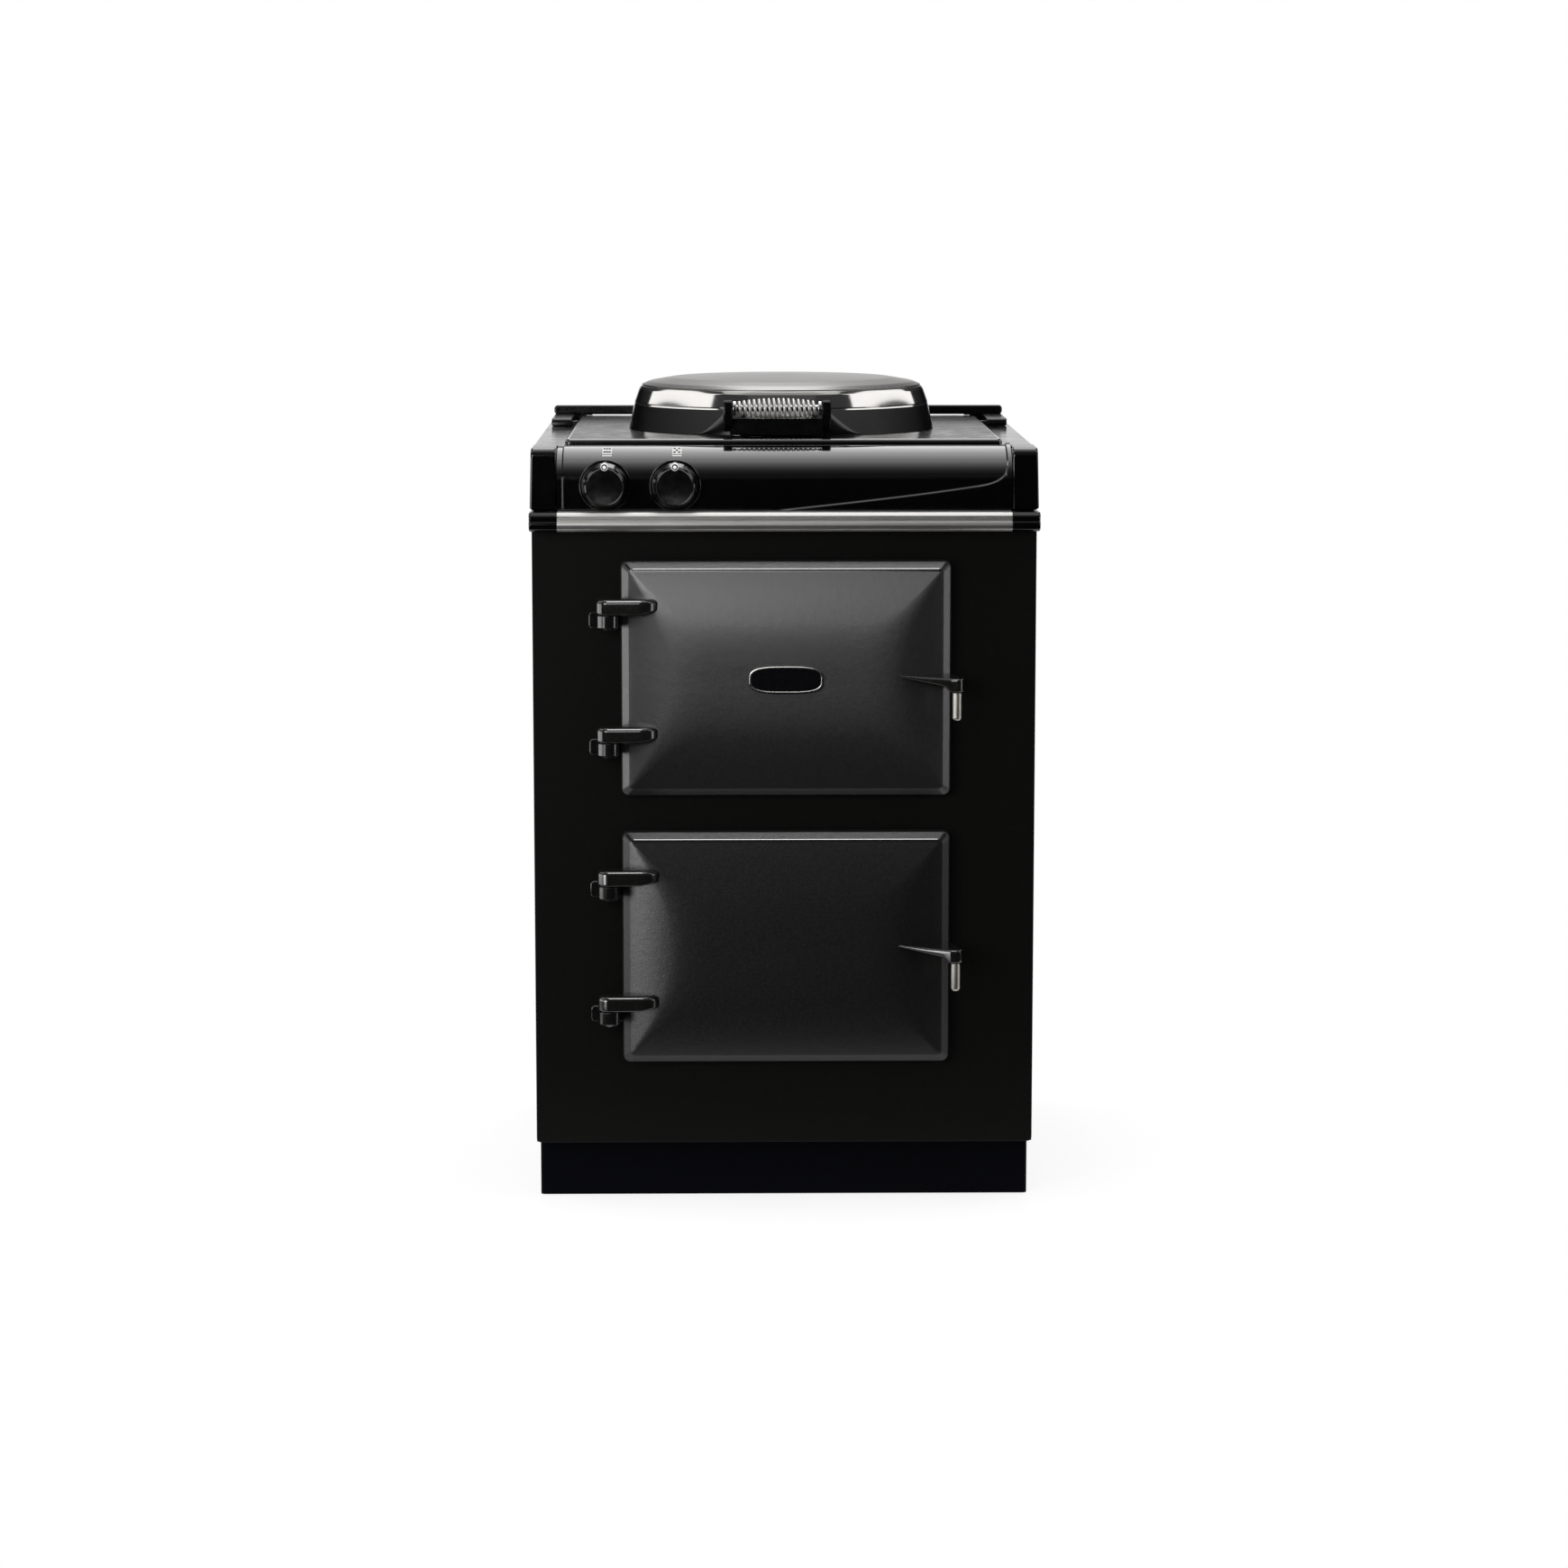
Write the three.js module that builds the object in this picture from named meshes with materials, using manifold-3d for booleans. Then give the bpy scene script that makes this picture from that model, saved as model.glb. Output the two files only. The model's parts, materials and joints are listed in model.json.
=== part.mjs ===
// Cast iron range cooker: two side-hung oven doors, one hotplate under a hinged lid, two controls.
// Millimetres, +Z up, +X to the cook's right, -Y out of the front.
// Every piece is laid out with y = 0 on the front panel's face and z = 0 on the floor, and the
// last group slides them along Y so that the origin lies under the middle of the overall box.

import * as THREE from "three";
import { mergeVertices } from "three/addons/utils/BufferGeometryUtils.js";
import Module from "manifold-3d";

const wasm = await Module();
wasm.setup();

// ---------------------------------------------------------------- driving dimensions

const fit = 0.3; // clearance between pieces that seat on each other

// Cabinet
const bodyWidth = 598;
const bodyDepth = 600;
const bodyBottom = 73;
const topHeight = 910;
const frontThickness = 5;
const frontCorner = 5;
const frontEdge = 1.5;
const sheet = 2;
const frontFlange = 15;
const backSheet = 1.5;
const backFlange = 15;
const backRecess = 14;
const trayRim = 15;

// Plinth and levelling feet
const plinthInset = 3;
const plinthSetback = 37;
const plinthRearSetback = 12;
const plinthWall = 3;
const plinthBand = 6;
const plinthStep = 2;
const plinthFlange = 20;
const footRadius = 22;
const footThickness = 8;
const footStem = 6;
const footInsetX = 62;
const footInsetY = 92;

// Louvres and cable gland in the back panel
const louvreLength = 120;
const louvreHeight = 6;
const louvrePitch = 18;
const louvreCount = 6;
const louvreColumn = 110;
const louvreMiddle = 480;
const glandInset = 89;
const glandZ = 150;
const glandRadius = 12;
const glandLength = 10;

// Ovens
const ovenLapX = 31;
const ovenLapZ = 33.5;
const ovenDepth = 430;
const ovenWall = 3;
const ovenCorner = 12;
const ovenFlange = 14;
const runnerReach = 8;
const runnerHeight = 5;
const runnerLength = 370;
const runnerPitch = 50;
const runnerLevels = 3;
const runnerStop = 20;
const shelfWire = 2.5;
const shelfBars = 9;
const shelfLength = 340;
const shelfStop = 24;
const shelfLevelUsed = 1;
const elementRadius = 4;
const elementSpan = 200;
const elementLength = 320;
const elementFront = 76;
const elementMargin = 12;

// Doors
const doorWidth = 392;
const doorOffset = 1.7;
const doorMarginTop = 58.4;
const doorMarginBottom = 101.4;
const doorGap = 41.2;
const doorCorner = 9;
const doorStandoff = 4.5;
const doorRim = 19;
const doorDraft = 10;
const doorCrown = 18;
const doorShell = 8;
const doorWellInset = 34;
const linerSheet = 1.5;
const linerMargin = 12;
const plugClearance = 4;
const plugDepth = 6;
const sealWidth = 9;
const sealMargin = 3;

// Door hinges
const hingeReach = 14.7;
const hingeForward = 36;
const hingeInset = 65.2;
const hingeLift = 2.7;
const hingePin = 4;
const hingePinLength = 10;
const hingePinGap = 0.5;
const lugRadius = 13.5;
const lugThickness = 14;
const lugLength = 60;
const bossRadius = 13;
const bossHeight = 17.5;
const bossFlange = 3;
const bossFlangeReach = 23;

// Door handles
const armLength = 69.2;
const armTop = 6;
const armRootDepth = 1.5;
const armOverhang = 4.2;
const armForward = 65;
const armEndRadius = 8;
const armDrop = 16.5;
const gripRadius = 5.3;
const gripLength = 33.5;

// Badge plate
const badgeWidth = 88;
const badgeHeight = 33;
const badgeThickness = 3;
const badgeRimWidth = 2.5;
const badgeRecess = 0.8;
const badgeLift = 1.5;

// Fascia, cheeks and front rail
const fasciaHeight = 72;
const fasciaFront = 8;
const fasciaBack = 52;
const noseHeight = 38;
const fasciaWall = 3;
const cheekWidth = 30;
const fasciaLedge = 40;
const fieldRaise = 1.6;
const fieldInset = 6;
const fieldSweepFrom = -22;
const fieldSweepRise = 30;
const fieldTurnRise = 52;
const cheekEdge = 2.5;
const cheekFlare = 1.7;
const railForward = 38;
const railHeight = 23;
const railCapWidth = 31.5;
const railWall = 3;
const railGroove = 1.2;
const railCapTongue = 12;

// Controls
const knobFaceRadius = 22.5;
const knobSkirtRadius = 27.5;
const knobDepth = 21;
const knobBossMargin = 3;
const knobBossRaise = 3;
const knobClearance = 1.5;
const knobInset = 57.4;
const knobPitch = 82.6;
const spindleRadius = 4;
const spindleLength = 46;
const thermostatRadius = 18;
const thermostatDepth = 30;
const thermostatNeck = 7;
const thermostatNeckLength = 13;
const controlBayDepth = 20;
const controlBayDrop = 24;

// Top casting, raised plate and hotplate
const surroundDepth = 24;
const surroundWall = 6;
const surroundEdge = 2;
const surroundLandX = 26;
const surroundLandY = 22;
const plateMarginX = 38;
const plateSetback = 5;
const plateMarginRear = 29;
const plateRise = 7.7;
const plateCorner = 6;
const plateEdge = 1.2;
const hotplateRadius = 165;
const hotplateProud = 3;
const hotplateThickness = 46;
const hotplateGap = 7;
const ringWidth = 16;
const ringThickness = 1.6;
const ringLip = 4;
const elementPadThickness = 8;
const elementPadHole = 30;

// Guard rail behind the hob
const guardInset = 5;
const guardThickness = 10.6;
const guardDepth = 11;
const guardMarginRear = 36;
const guardClearance = 2.6;
const guardPadInset = 44;
const guardPadWidth = 12;
const guardFootWidth = 26;
const guardFootLength = 120;
const guardFootEdge = 3;

// Lid
const lidSetForward = 21;
const lidOverhang = 24.5;
const lidShoulderInset = 9.5;
const lidShoulderHeight = 40;
const lidRimInset = 16;
const lidRimHeight = 54;
const lidCrownHeight = 67.5;
const lidSheet = 1.5;
const lidFacets = 44;
const lidLift = 0.6;
const lidLinerLift = 6;
const lidLinerWall = 14;
const lidHingeGap = 22.5;
const lidHingeHeight = 20;
const lidHingePin = 5;
const lidKnuckleRadius = 10;
const lidKnuckleLength = 64;
const lidEarThickness = 8;
const lidHingeBase = 4;
const lidHingeFootFront = 16;
const lidHingeFootRear = 22;

// Lid handle
const handleOffset = -7.5;
const handleReach = 25.5;
const handleHeight = 35.3;
const handleClear = 106.8;
const handlePostWidth = 11;
const handlePostDepth = 15;
const handlePostTop = 9.5;
const handleShelfReach = 19.5;
const handleShelfThickness = 3;
const handleApronBottom = 3;
const handleRod = 4;
const handleCollar = 8.5;
const handleCollarThickness = 4;
const coilWire = 1.6;
const coilTurns = 16;
const coilEndRadius = 6.8;
const coilMiddleRadius = 10.8;

// ---------------------------------------------------------------- worked-out places

// Cabinet and plinth
const half = bodyWidth / 2;
const plinthHalf = half - plinthInset;
const footTop = bodyBottom - fit;
const backFace = bodyDepth - backRecess;
const glandX = -half + glandInset;

// Fascia, rail and controls
const fasciaBottom = topHeight - fasciaHeight;
const fasciaHalf = half - cheekWidth;
const railHalf = half - railCapWidth;
const frontTop = fasciaBottom - fit;
const facePadY = -fasciaFront - knobBossRaise;
const knobBossRadius = knobSkirtRadius + knobBossMargin;
const knobHeight = fasciaBottom + knobSkirtRadius + knobClearance;
const leftKnobX = -fasciaHalf + knobInset;
const rightKnobX = leftKnobX + knobPitch;

// Doors and ovens
const doorsHigh = fasciaBottom - doorMarginTop - bodyBottom - doorMarginBottom;
const doorHeight = (doorsHigh - doorGap) / 2;
const doorFace = doorStandoff + doorRim;
const lowerDoorCentre = bodyBottom + doorMarginBottom + doorHeight / 2;
const upperDoorCentre = lowerDoorCentre + doorHeight + doorGap;
const doorCentres = { upper: upperDoorCentre, lower: lowerDoorCentre };
const hingeX = -doorWidth / 2 - hingeReach;
const hingeSpacing = doorHeight - 2 * hingeInset;
const armEnd = doorWidth / 2 + armOverhang;
const armRoot = armEnd - armLength;
const ovenWidth = doorWidth - 2 * ovenLapX;
const ovenHeight = doorHeight - 2 * ovenLapZ;
const ovenSill = -ovenHeight / 2;
const elementSlot = 2 * elementRadius + 3 * fit;
const shelfLevel = ovenSill + shelfLevelUsed * runnerPitch + runnerHeight + fit + shelfWire;

// Hob
const surroundFront = fasciaBack + fit;
const surroundBottom = topHeight - surroundDepth;
const plateHalf = half - plateMarginX;
const plateFront = fasciaBack + plateSetback;
const plateRear = bodyDepth - plateMarginRear;
const plateTop = topHeight + plateRise;
const guardHalf = half - guardInset;
const guardY = bodyDepth - guardMarginRear;
const hotplateBottom = plateTop + hotplateProud - hotplateThickness;
const elementPadBottom = hotplateBottom - fit - elementPadThickness;
const insulationTop = elementPadBottom - fit;
const insulationFront = frontThickness + 2 * fit + 2 * sheet + fit;

// Lid and its handle
const lidRadius = hotplateRadius + lidOverhang;
const lidShoulderRadius = lidRadius - lidShoulderInset;
const lidRimRadius = lidRadius - lidRimInset;
const lidCentreY = (plateFront + plateRear) / 2 - lidSetForward;
const lidHingeY = lidCentreY + lidRadius + lidHingeGap;
const handleForward = lidRadius + handleReach;
const handleShelfForward = lidRadius + handleShelfReach;
const handleShelfHeight = handleHeight - coilMiddleRadius - coilWire - fit;

// ---------------------------------------------------------------- materials

function finish(color, roughness, metalness) {
  return new THREE.MeshStandardMaterial({ color, roughness, metalness });
}

const enamel = finish(0x121211, 0.12, 0.0);
const plinthPaint = finish(0x07070c, 0.4, 0.0);
const blackTrim = finish(0x0c0c0d, 0.25, 0.0);
const castIron = finish(0x2b2b2c, 0.6, 0.6);
const polished = finish(0xc9cacc, 0.08, 1.0);
const brushed = finish(0xb7b8ba, 0.3, 1.0);
const nickel = finish(0xd8d6d0, 0.2, 1.0);
const zinc = finish(0x8f9294, 0.5, 0.9);
const ovenEnamel = finish(0x1c1c1e, 0.45, 0.0);
const wool = finish(0xb9ae93, 0.95, 0.0);
const rope = finish(0x3a3a38, 0.9, 0.0);
const badgeFace = finish(0x16171a, 0.2, 0.6);

// ---------------------------------------------------------------- shaping helpers

const AXES_ALONG_X = new THREE.Matrix4().makeBasis(
  new THREE.Vector3(0, 1, 0),
  new THREE.Vector3(0, 0, 1),
  new THREE.Vector3(1, 0, 0),
);

function solidOf(geometry) {
  const bare = geometry.clone();
  bare.deleteAttribute("normal");
  bare.deleteAttribute("uv");
  const merged = mergeVertices(bare, 1e-4);
  const vertProperties = new Float32Array(merged.attributes.position.array);
  const triVerts = new Uint32Array(merged.index.array);
  return new wasm.Manifold(new wasm.Mesh({ numProp: 3, vertProperties, triVerts }));
}

function geometryOf(solid) {
  const mesh = solid.getMesh();
  const geometry = new THREE.BufferGeometry();
  geometry.setAttribute("position", new THREE.BufferAttribute(mesh.vertProperties, 3));
  geometry.setIndex(new THREE.BufferAttribute(mesh.triVerts, 1));
  return geometry;
}

function join(...geometries) {
  return geometryOf(geometries.map(solidOf).reduce((sum, next) => sum.add(next)));
}

function cut(geometry, ...tools) {
  return geometryOf(tools.map(solidOf).reduce((rest, tool) => rest.subtract(tool), solidOf(geometry)));
}

function common(first, second) {
  return geometryOf(solidOf(first).intersect(solidOf(second)));
}

// A block given by its [from, to] along each axis.
function block([x0, x1], [y0, y1], [z0, z1]) {
  const geometry = new THREE.BoxGeometry(x1 - x0, y1 - y0, z1 - z0);
  return geometry.translate((x0 + x1) / 2, (y0 + y1) / 2, (z0 + z1) / 2);
}

function outline(points) {
  return new THREE.Shape(points.map(([x, y]) => new THREE.Vector2(x, y)));
}

// Points along a round stretch, in steps from one angle to the other.
function arc([cx, cy], [rx, ry], from, to, steps) {
  const points = [];
  for (let i = 0; i <= steps; i += 1) {
    const angle = from + ((to - from) * i) / steps;
    points.push([cx + rx * Math.cos(angle), cy + ry * Math.sin(angle)]);
  }
  return points;
}

// A rectangle with round corners, given by its [from, to] both ways.
function roundedRect([x0, x1], [y0, y1], radius, steps = 3) {
  const quarter = Math.PI / 2;
  const size = [radius, radius];
  return outline([
    ...arc([x1 - radius, y0 + radius], size, -quarter, 0, steps),
    ...arc([x1 - radius, y1 - radius], size, 0, quarter, steps),
    ...arc([x0 + radius, y1 - radius], size, quarter, 2 * quarter, steps),
    ...arc([x0 + radius, y0 + radius], size, 2 * quarter, 3 * quarter, steps),
  ]);
}

// A closed oval; a circle where both half axes are alike.
function oval(center, halfAxes, steps) {
  const ring = arc(center, halfAxes, 0, 2 * Math.PI, steps);
  ring.pop();
  return outline(ring);
}

// An outline drawn in plan and raised from z = 0, with its two rims chamfered by edge.
function raised(shape, height, edge = 0, curveSegments = 3) {
  const options = {
    depth: height - 2 * edge,
    bevelEnabled: edge > 0,
    bevelThickness: edge,
    bevelSize: edge,
    bevelOffset: -edge,
    bevelSegments: 1,
    curveSegments,
  };
  return new THREE.ExtrudeGeometry(shape, options).translate(0, 0, edge);
}

// An outline drawn as seen from the front, (x, z), from y = back towards the viewer.
function frontal(shape, back, thickness, edge = 0, curveSegments = 3) {
  return raised(shape, thickness, edge, curveSegments).rotateX(Math.PI / 2).translate(0, back, 0);
}

// An outline drawn as a cross-section, (y, z), running along X.
function lengthwise(shape, [x0, x1], edge = 0) {
  return raised(shape, x1 - x0, edge).applyMatrix4(AXES_ALONG_X).translate(x0, 0, 0);
}

// A profile of [radius, height] points turned about the Z axis.
function turned(profile, segments) {
  const points = profile.map(([r, z]) => new THREE.Vector2(r, z));
  const onAxis = profile[0][0] === 0;
  if (THREE.ShapeUtils.area(points) < 0) points.reverse();
  if (!onAxis) points.push(points[0].clone());
  return new THREE.LatheGeometry(points, segments).rotateX(Math.PI / 2);
}

// A round bar along Z from z = 0.
function bar(radius, length, segments = 12) {
  return turned([[0, 0], [radius, 0], [radius, length], [0, length]], segments);
}

function barAlongX(radius, [x0, x1], segments = 12) {
  return bar(radius, x1 - x0, segments).rotateY(Math.PI / 2).translate(x0, 0, 0);
}

// A round bar along -Y, out of the front, from y = 0.
function barForward(radius, length, segments = 16) {
  return bar(radius, length, segments).rotateX(Math.PI / 2);
}

function ringOf(outer, inner) {
  outer.holes.push(inner);
  return outer;
}

function part(parent, name, geometry, material, [x, y, z] = [0, 0, 0]) {
  const faceted = geometry.index ? geometry.toNonIndexed() : geometry;
  faceted.computeVertexNormals();
  const mesh = new THREE.Mesh(faceted, material);
  mesh.name = name;
  mesh.position.set(x, y, z);
  parent.add(mesh);
  return mesh;
}

// ---------------------------------------------------------------- plinth, feet and cabinet

function makePlinth() {
  const rear = bodyDepth - plinthRearSetback;
  const top = bodyBottom - fit;
  const bandBottom = top - plinthBand;
  const slim = plinthHalf - plinthStep;
  const frame = (reach, inset, from, to) => {
    const front = plinthSetback + plinthHalf - reach;
    const back = rear - plinthHalf + reach;
    const outer = roundedRect([-reach, reach], [front, back], 4, 2);
    const inner = roundedRect([-reach + inset, reach - inset], [front + inset, back - inset], 3, 1);
    return raised(ringOf(outer, inner), to - from).translate(0, 0, from);
  };
  return join(
    frame(plinthHalf, plinthWall, 0, bandBottom + 0.8),
    frame(slim, plinthWall, bandBottom, top),
    frame(slim, plinthFlange, top - plinthWall, top),
  );
}

function makeFoot() {
  const profile = [
    [0, 0],
    [footRadius - 1, 0],
    [footRadius, 2],
    [footRadius, footThickness - 2],
    [footStem, footThickness],
    [footStem, footTop],
    [0, footTop],
  ];
  return turned(profile, 12);
}

function makeBaseTray() {
  const x = half - sheet - fit;
  const front = frontThickness + sheet + 2 * fit;
  const rear = backFace - backSheet - backFlange - fit;
  const floor = bodyBottom + sheet;
  return cut(
    block([-x, x], [front, rear], [bodyBottom, bodyBottom + trayRim]),
    block([-x + sheet, x - sheet], [front + sheet, rear - sheet], [floor, bodyBottom + trayRim + 1]),
  );
}

function mouthOf(centre, margin = 0) {
  const reach = ovenWidth / 2 + margin;
  const rise = ovenHeight / 2 + margin;
  const corner = Math.max(ovenCorner + margin, 1);
  return roundedRect([doorOffset - reach, doorOffset + reach], [centre - rise, centre + rise], corner);
}

function makeFrontPanel() {
  const face = roundedRect([-half, half], [bodyBottom, frontTop], frontCorner);
  for (const centre of Object.values(doorCentres)) face.holes.push(mouthOf(centre));
  return frontal(face, frontThickness, frontThickness, frontEdge);
}

function makeSidePanel(side) {
  const outer = half;
  const inner = half - sheet;
  const front = frontThickness + fit;
  const section = outline([
    [side * outer, front],
    [side * outer, bodyDepth],
    [side * inner, bodyDepth],
    [side * inner, front + sheet],
    [side * (inner - frontFlange), front + sheet],
    [side * (inner - frontFlange), front],
  ]);
  const top = surroundBottom - fit;
  const wall = raised(section, top - bodyBottom).translate(0, 0, bodyBottom);
  const notch = block([-half - 1, half + 1], [0, surroundFront], [frontTop, top + 1]);
  return cut(wall, notch);
}

function makeBackPanel() {
  const x = half - sheet - fit;
  const top = surroundBottom - fit;
  const pan = cut(
    block([-x, x], [backFace - backSheet - backFlange, backFace], [bodyBottom, top]),
    block(
      [-x + backSheet, x - backSheet],
      [backFace - backSheet - backFlange - 1, backFace - backSheet],
      [bodyBottom + backSheet, top - backSheet],
    ),
  );
  const slots = [];
  for (const side of [-1, 1]) {
    for (let i = 0; i < louvreCount; i += 1) {
      const z = louvreMiddle + (i - (louvreCount - 1) / 2) * louvrePitch;
      const x0 = side * louvreColumn - louvreLength / 2;
      const slot = roundedRect([x0, x0 + louvreLength], [z, z + louvreHeight], 0.4 * louvreHeight, 1);
      slots.push(frontal(slot, backFace + 1, backSheet + 2));
    }
  }
  const entry = barForward(glandRadius - 3 + fit, backSheet + 4).translate(glandX, backFace + 2, glandZ);
  return cut(pan, ...slots, entry);
}

function makeCableGland() {
  const body = turned(
    [
      [glandRadius - 6, 0],
      [glandRadius, 0],
      [glandRadius, glandLength - 3],
      [glandRadius - 2, glandLength],
      [glandRadius - 6, glandLength],
    ],
    12,
  );
  const neck = turned(
    [
      [glandRadius - 6, -backSheet - 8],
      [glandRadius - 3, -backSheet - 8],
      [glandRadius - 3, 1],
      [glandRadius - 6, 1],
    ],
    12,
  );
  return join(body, neck).rotateX(-Math.PI / 2);
}

// Mineral wool that fills the cabinet round the ovens, with a slot under each for its element.
function makeInsulation() {
  const x = half - 2 * sheet - 2 * fit;
  const front = insulationFront;
  const rear = backFace - backSheet - backFlange - fit - sheet - fit;
  const fill = block([-x, x], [front, rear], [bodyBottom + sheet + fit, insulationTop]);
  const reach = ovenWidth / 2 + ovenWall + fit;
  const rise = ovenHeight / 2 + ovenWall + fit;
  const deep = frontThickness + ovenDepth + ovenWall + fit;
  const slotReach = elementSpan / 2 + elementMargin;
  const controlBay = block(
    [-x - 1, x + 1],
    [front - 1, surroundFront + controlBayDepth],
    [fasciaBottom - controlBayDrop, insulationTop + 1],
  );
  const tools = [controlBay];
  for (const centre of Object.values(doorCentres)) {
    tools.push(
      block(
        [doorOffset - reach, doorOffset + reach],
        [front - 1, deep],
        [centre - rise, centre + rise],
      ),
      block(
        [doorOffset - slotReach, doorOffset + slotReach],
        [elementFront - elementMargin, elementFront + elementLength + elementMargin],
        [centre - rise - elementSlot + fit, centre - rise + 1],
      ),
    );
  }
  return cut(fill, ...tools);
}

// ---------------------------------------------------------------- ovens

function makeOven() {
  const reach = ovenWidth / 2;
  const rise = ovenHeight / 2;
  const front = frontThickness + fit;
  const rear = frontThickness + ovenDepth;
  const box = cut(
    block(
      [-reach - ovenWall, reach + ovenWall],
      [front, rear + ovenWall],
      [-rise - ovenWall, rise + ovenWall],
    ),
    block([-reach, reach], [front - 1, rear], [-rise, rise]),
  );
  const brim = roundedRect(
    [-reach - ovenFlange, reach + ovenFlange],
    [-rise - ovenFlange, rise + ovenFlange],
    ovenCorner,
  );
  const mouth = roundedRect([-reach, reach], [-rise, rise], 1);
  const flange = frontal(ringOf(brim, mouth), front + sheet, sheet);
  const runners = [];
  for (const side of [-1, 1]) {
    for (let level = 1; level <= runnerLevels; level += 1) {
      const x0 = side < 0 ? -reach - 1 : reach - runnerReach;
      const z = ovenSill + level * runnerPitch;
      const span = [rear - runnerLength, rear - runnerStop];
      runners.push(block([x0, x0 + runnerReach + 1], span, [z, z + runnerHeight]));
    }
  }
  return join(box, flange, ...runners);
}

// Wire shelf: bars from front to back, welded to a bar across each end.
function makeShelf() {
  const reach = ovenWidth / 2 - 2 * fit - shelfWire;
  const rear = frontThickness + ovenDepth - shelfStop;
  const front = rear - shelfLength;
  const alongY = (x) => bar(shelfWire, shelfLength, 4).rotateX(Math.PI / 2).translate(x, rear, 0);
  const bars = [];
  for (let i = 0; i < shelfBars; i += 1) {
    bars.push(alongY(-reach + (2 * reach * i) / (shelfBars - 1)));
  }
  const ends = [front + 3 * shelfWire, rear - 3 * shelfWire];
  const lift = 0.4 * shelfWire;
  const cross = ends.map((y) => barAlongX(shelfWire, [-reach - 0.5, reach + 0.5], 4).translate(0, y, lift));
  return join(...bars, ...cross);
}

// Hairpin heating element: two legs joined by a half turn at the back, with short tails.
function makeOvenElement() {
  const turn = elementSpan / 2;
  const straight = elementLength - turn;
  const points = [];
  points.push(new THREE.Vector3(-turn, 0, 0));
  for (let i = 0; i <= 12; i += 1) {
    const angle = Math.PI - (Math.PI * i) / 12;
    points.push(new THREE.Vector3(turn * Math.cos(angle), straight + turn * Math.sin(angle), 0));
  }
  points.push(new THREE.Vector3(turn, 0, 0));
  return sweep(points, elementRadius, 6);
}

// A round bar swept through points, with flat ends and frames carried along without twist.
function sweep(points, radius, sides) {
  const tangents = points.map((_, i) => {
    const before = points[Math.max(i - 1, 0)];
    const after = points[Math.min(i + 1, points.length - 1)];
    return after.clone().sub(before).normalize();
  });
  const seed = Math.abs(tangents[0].z) < 0.9 ? new THREE.Vector3(0, 0, 1) : new THREE.Vector3(0, 1, 0);
  let normal = seed.sub(tangents[0].clone().multiplyScalar(seed.dot(tangents[0]))).normalize();
  const vertices = [];
  points.forEach((point, i) => {
    const tangent = tangents[i];
    normal = normal.clone().sub(tangent.clone().multiplyScalar(normal.dot(tangent))).normalize();
    const side = tangent.clone().cross(normal);
    for (let k = 0; k < sides; k += 1) {
      const angle = (2 * Math.PI * k) / sides;
      const spoke = normal.clone().multiplyScalar(Math.cos(angle) * radius);
      vertices.push(spoke.addScaledVector(side, Math.sin(angle) * radius).add(point));
    }
  });
  const first = vertices.length;
  vertices.push(points[0].clone(), points[points.length - 1].clone());
  const index = [];
  for (let i = 0; i < points.length - 1; i += 1) {
    for (let k = 0; k < sides; k += 1) {
      const a = i * sides + k;
      const b = i * sides + ((k + 1) % sides);
      index.push(a, b, b + sides, a, b + sides, a + sides);
    }
  }
  const last = (points.length - 1) * sides;
  for (let k = 0; k < sides; k += 1) {
    const next = (k + 1) % sides;
    index.push(first, next, k, first + 1, last + k, last + next);
  }
  const geometry = new THREE.BufferGeometry().setFromPoints(vertices);
  geometry.setIndex(index);
  return geometry;
}

function makeSeal(centre) {
  const ring = ringOf(mouthOf(centre, sealMargin + sealWidth), mouthOf(centre, sealMargin));
  return frontal(ring, -fit, doorStandoff - 2 * fit);
}

// ---------------------------------------------------------------- doors

// How far the cast face stands out of its rim at (x, z): four facets that meet in hips at the
// corners and melt into a dome at the middle.
function crownAt(x, z) {
  const reach = doorWidth / 2 - doorDraft;
  const rise = doorHeight / 2 - doorDraft;
  const climb = (distance, span) => 1 - (1 - Math.min(distance / span, 1)) ** 2.2;
  const fromSide = climb(reach - Math.abs(x), 0.72 * rise);
  const fromEnd = climb(rise - Math.abs(z), 0.95 * rise);
  const softness = 0.02 + 0.16 * Math.min(fromSide, fromEnd);
  const gap = Math.max(softness - Math.abs(fromSide - fromEnd), 0) / softness;
  return doorCrown * (Math.min(fromSide, fromEnd) - 0.25 * gap * gap * softness);
}

// One loop of points round a door, inset from its outline, in (x, z).
function doorLoop(inset, corner) {
  const reach = doorWidth / 2 - inset;
  const rise = doorHeight / 2 - inset;
  const radius = Math.min(corner, reach, rise);
  const loop = [];
  const side = (from, to, steps) => {
    for (let i = 1; i < steps; i += 1) {
      const t = i / steps;
      loop.push([from[0] + (to[0] - from[0]) * t, from[1] + (to[1] - from[1]) * t]);
    }
  };
  const corners = [
    [reach - radius, -rise + radius, -Math.PI / 2],
    [reach - radius, rise - radius, 0],
    [-reach + radius, rise - radius, Math.PI / 2],
    [-reach + radius, -rise + radius, Math.PI],
  ];
  const arcs = corners.map(([cx, cz, start]) => {
    const arc = [];
    for (let i = 0; i <= 3; i += 1) {
      const angle = start + (Math.PI / 2) * (i / 3);
      arc.push([cx + radius * Math.cos(angle), cz + radius * Math.sin(angle)]);
    }
    return arc;
  });
  arcs.forEach((arc, i) => {
    loop.push(...arc);
    const next = arcs[(i + 1) % 4];
    side(arc[arc.length - 1], next[0], i % 2 === 0 ? 6 : 8);
  });
  return loop;
}

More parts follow.
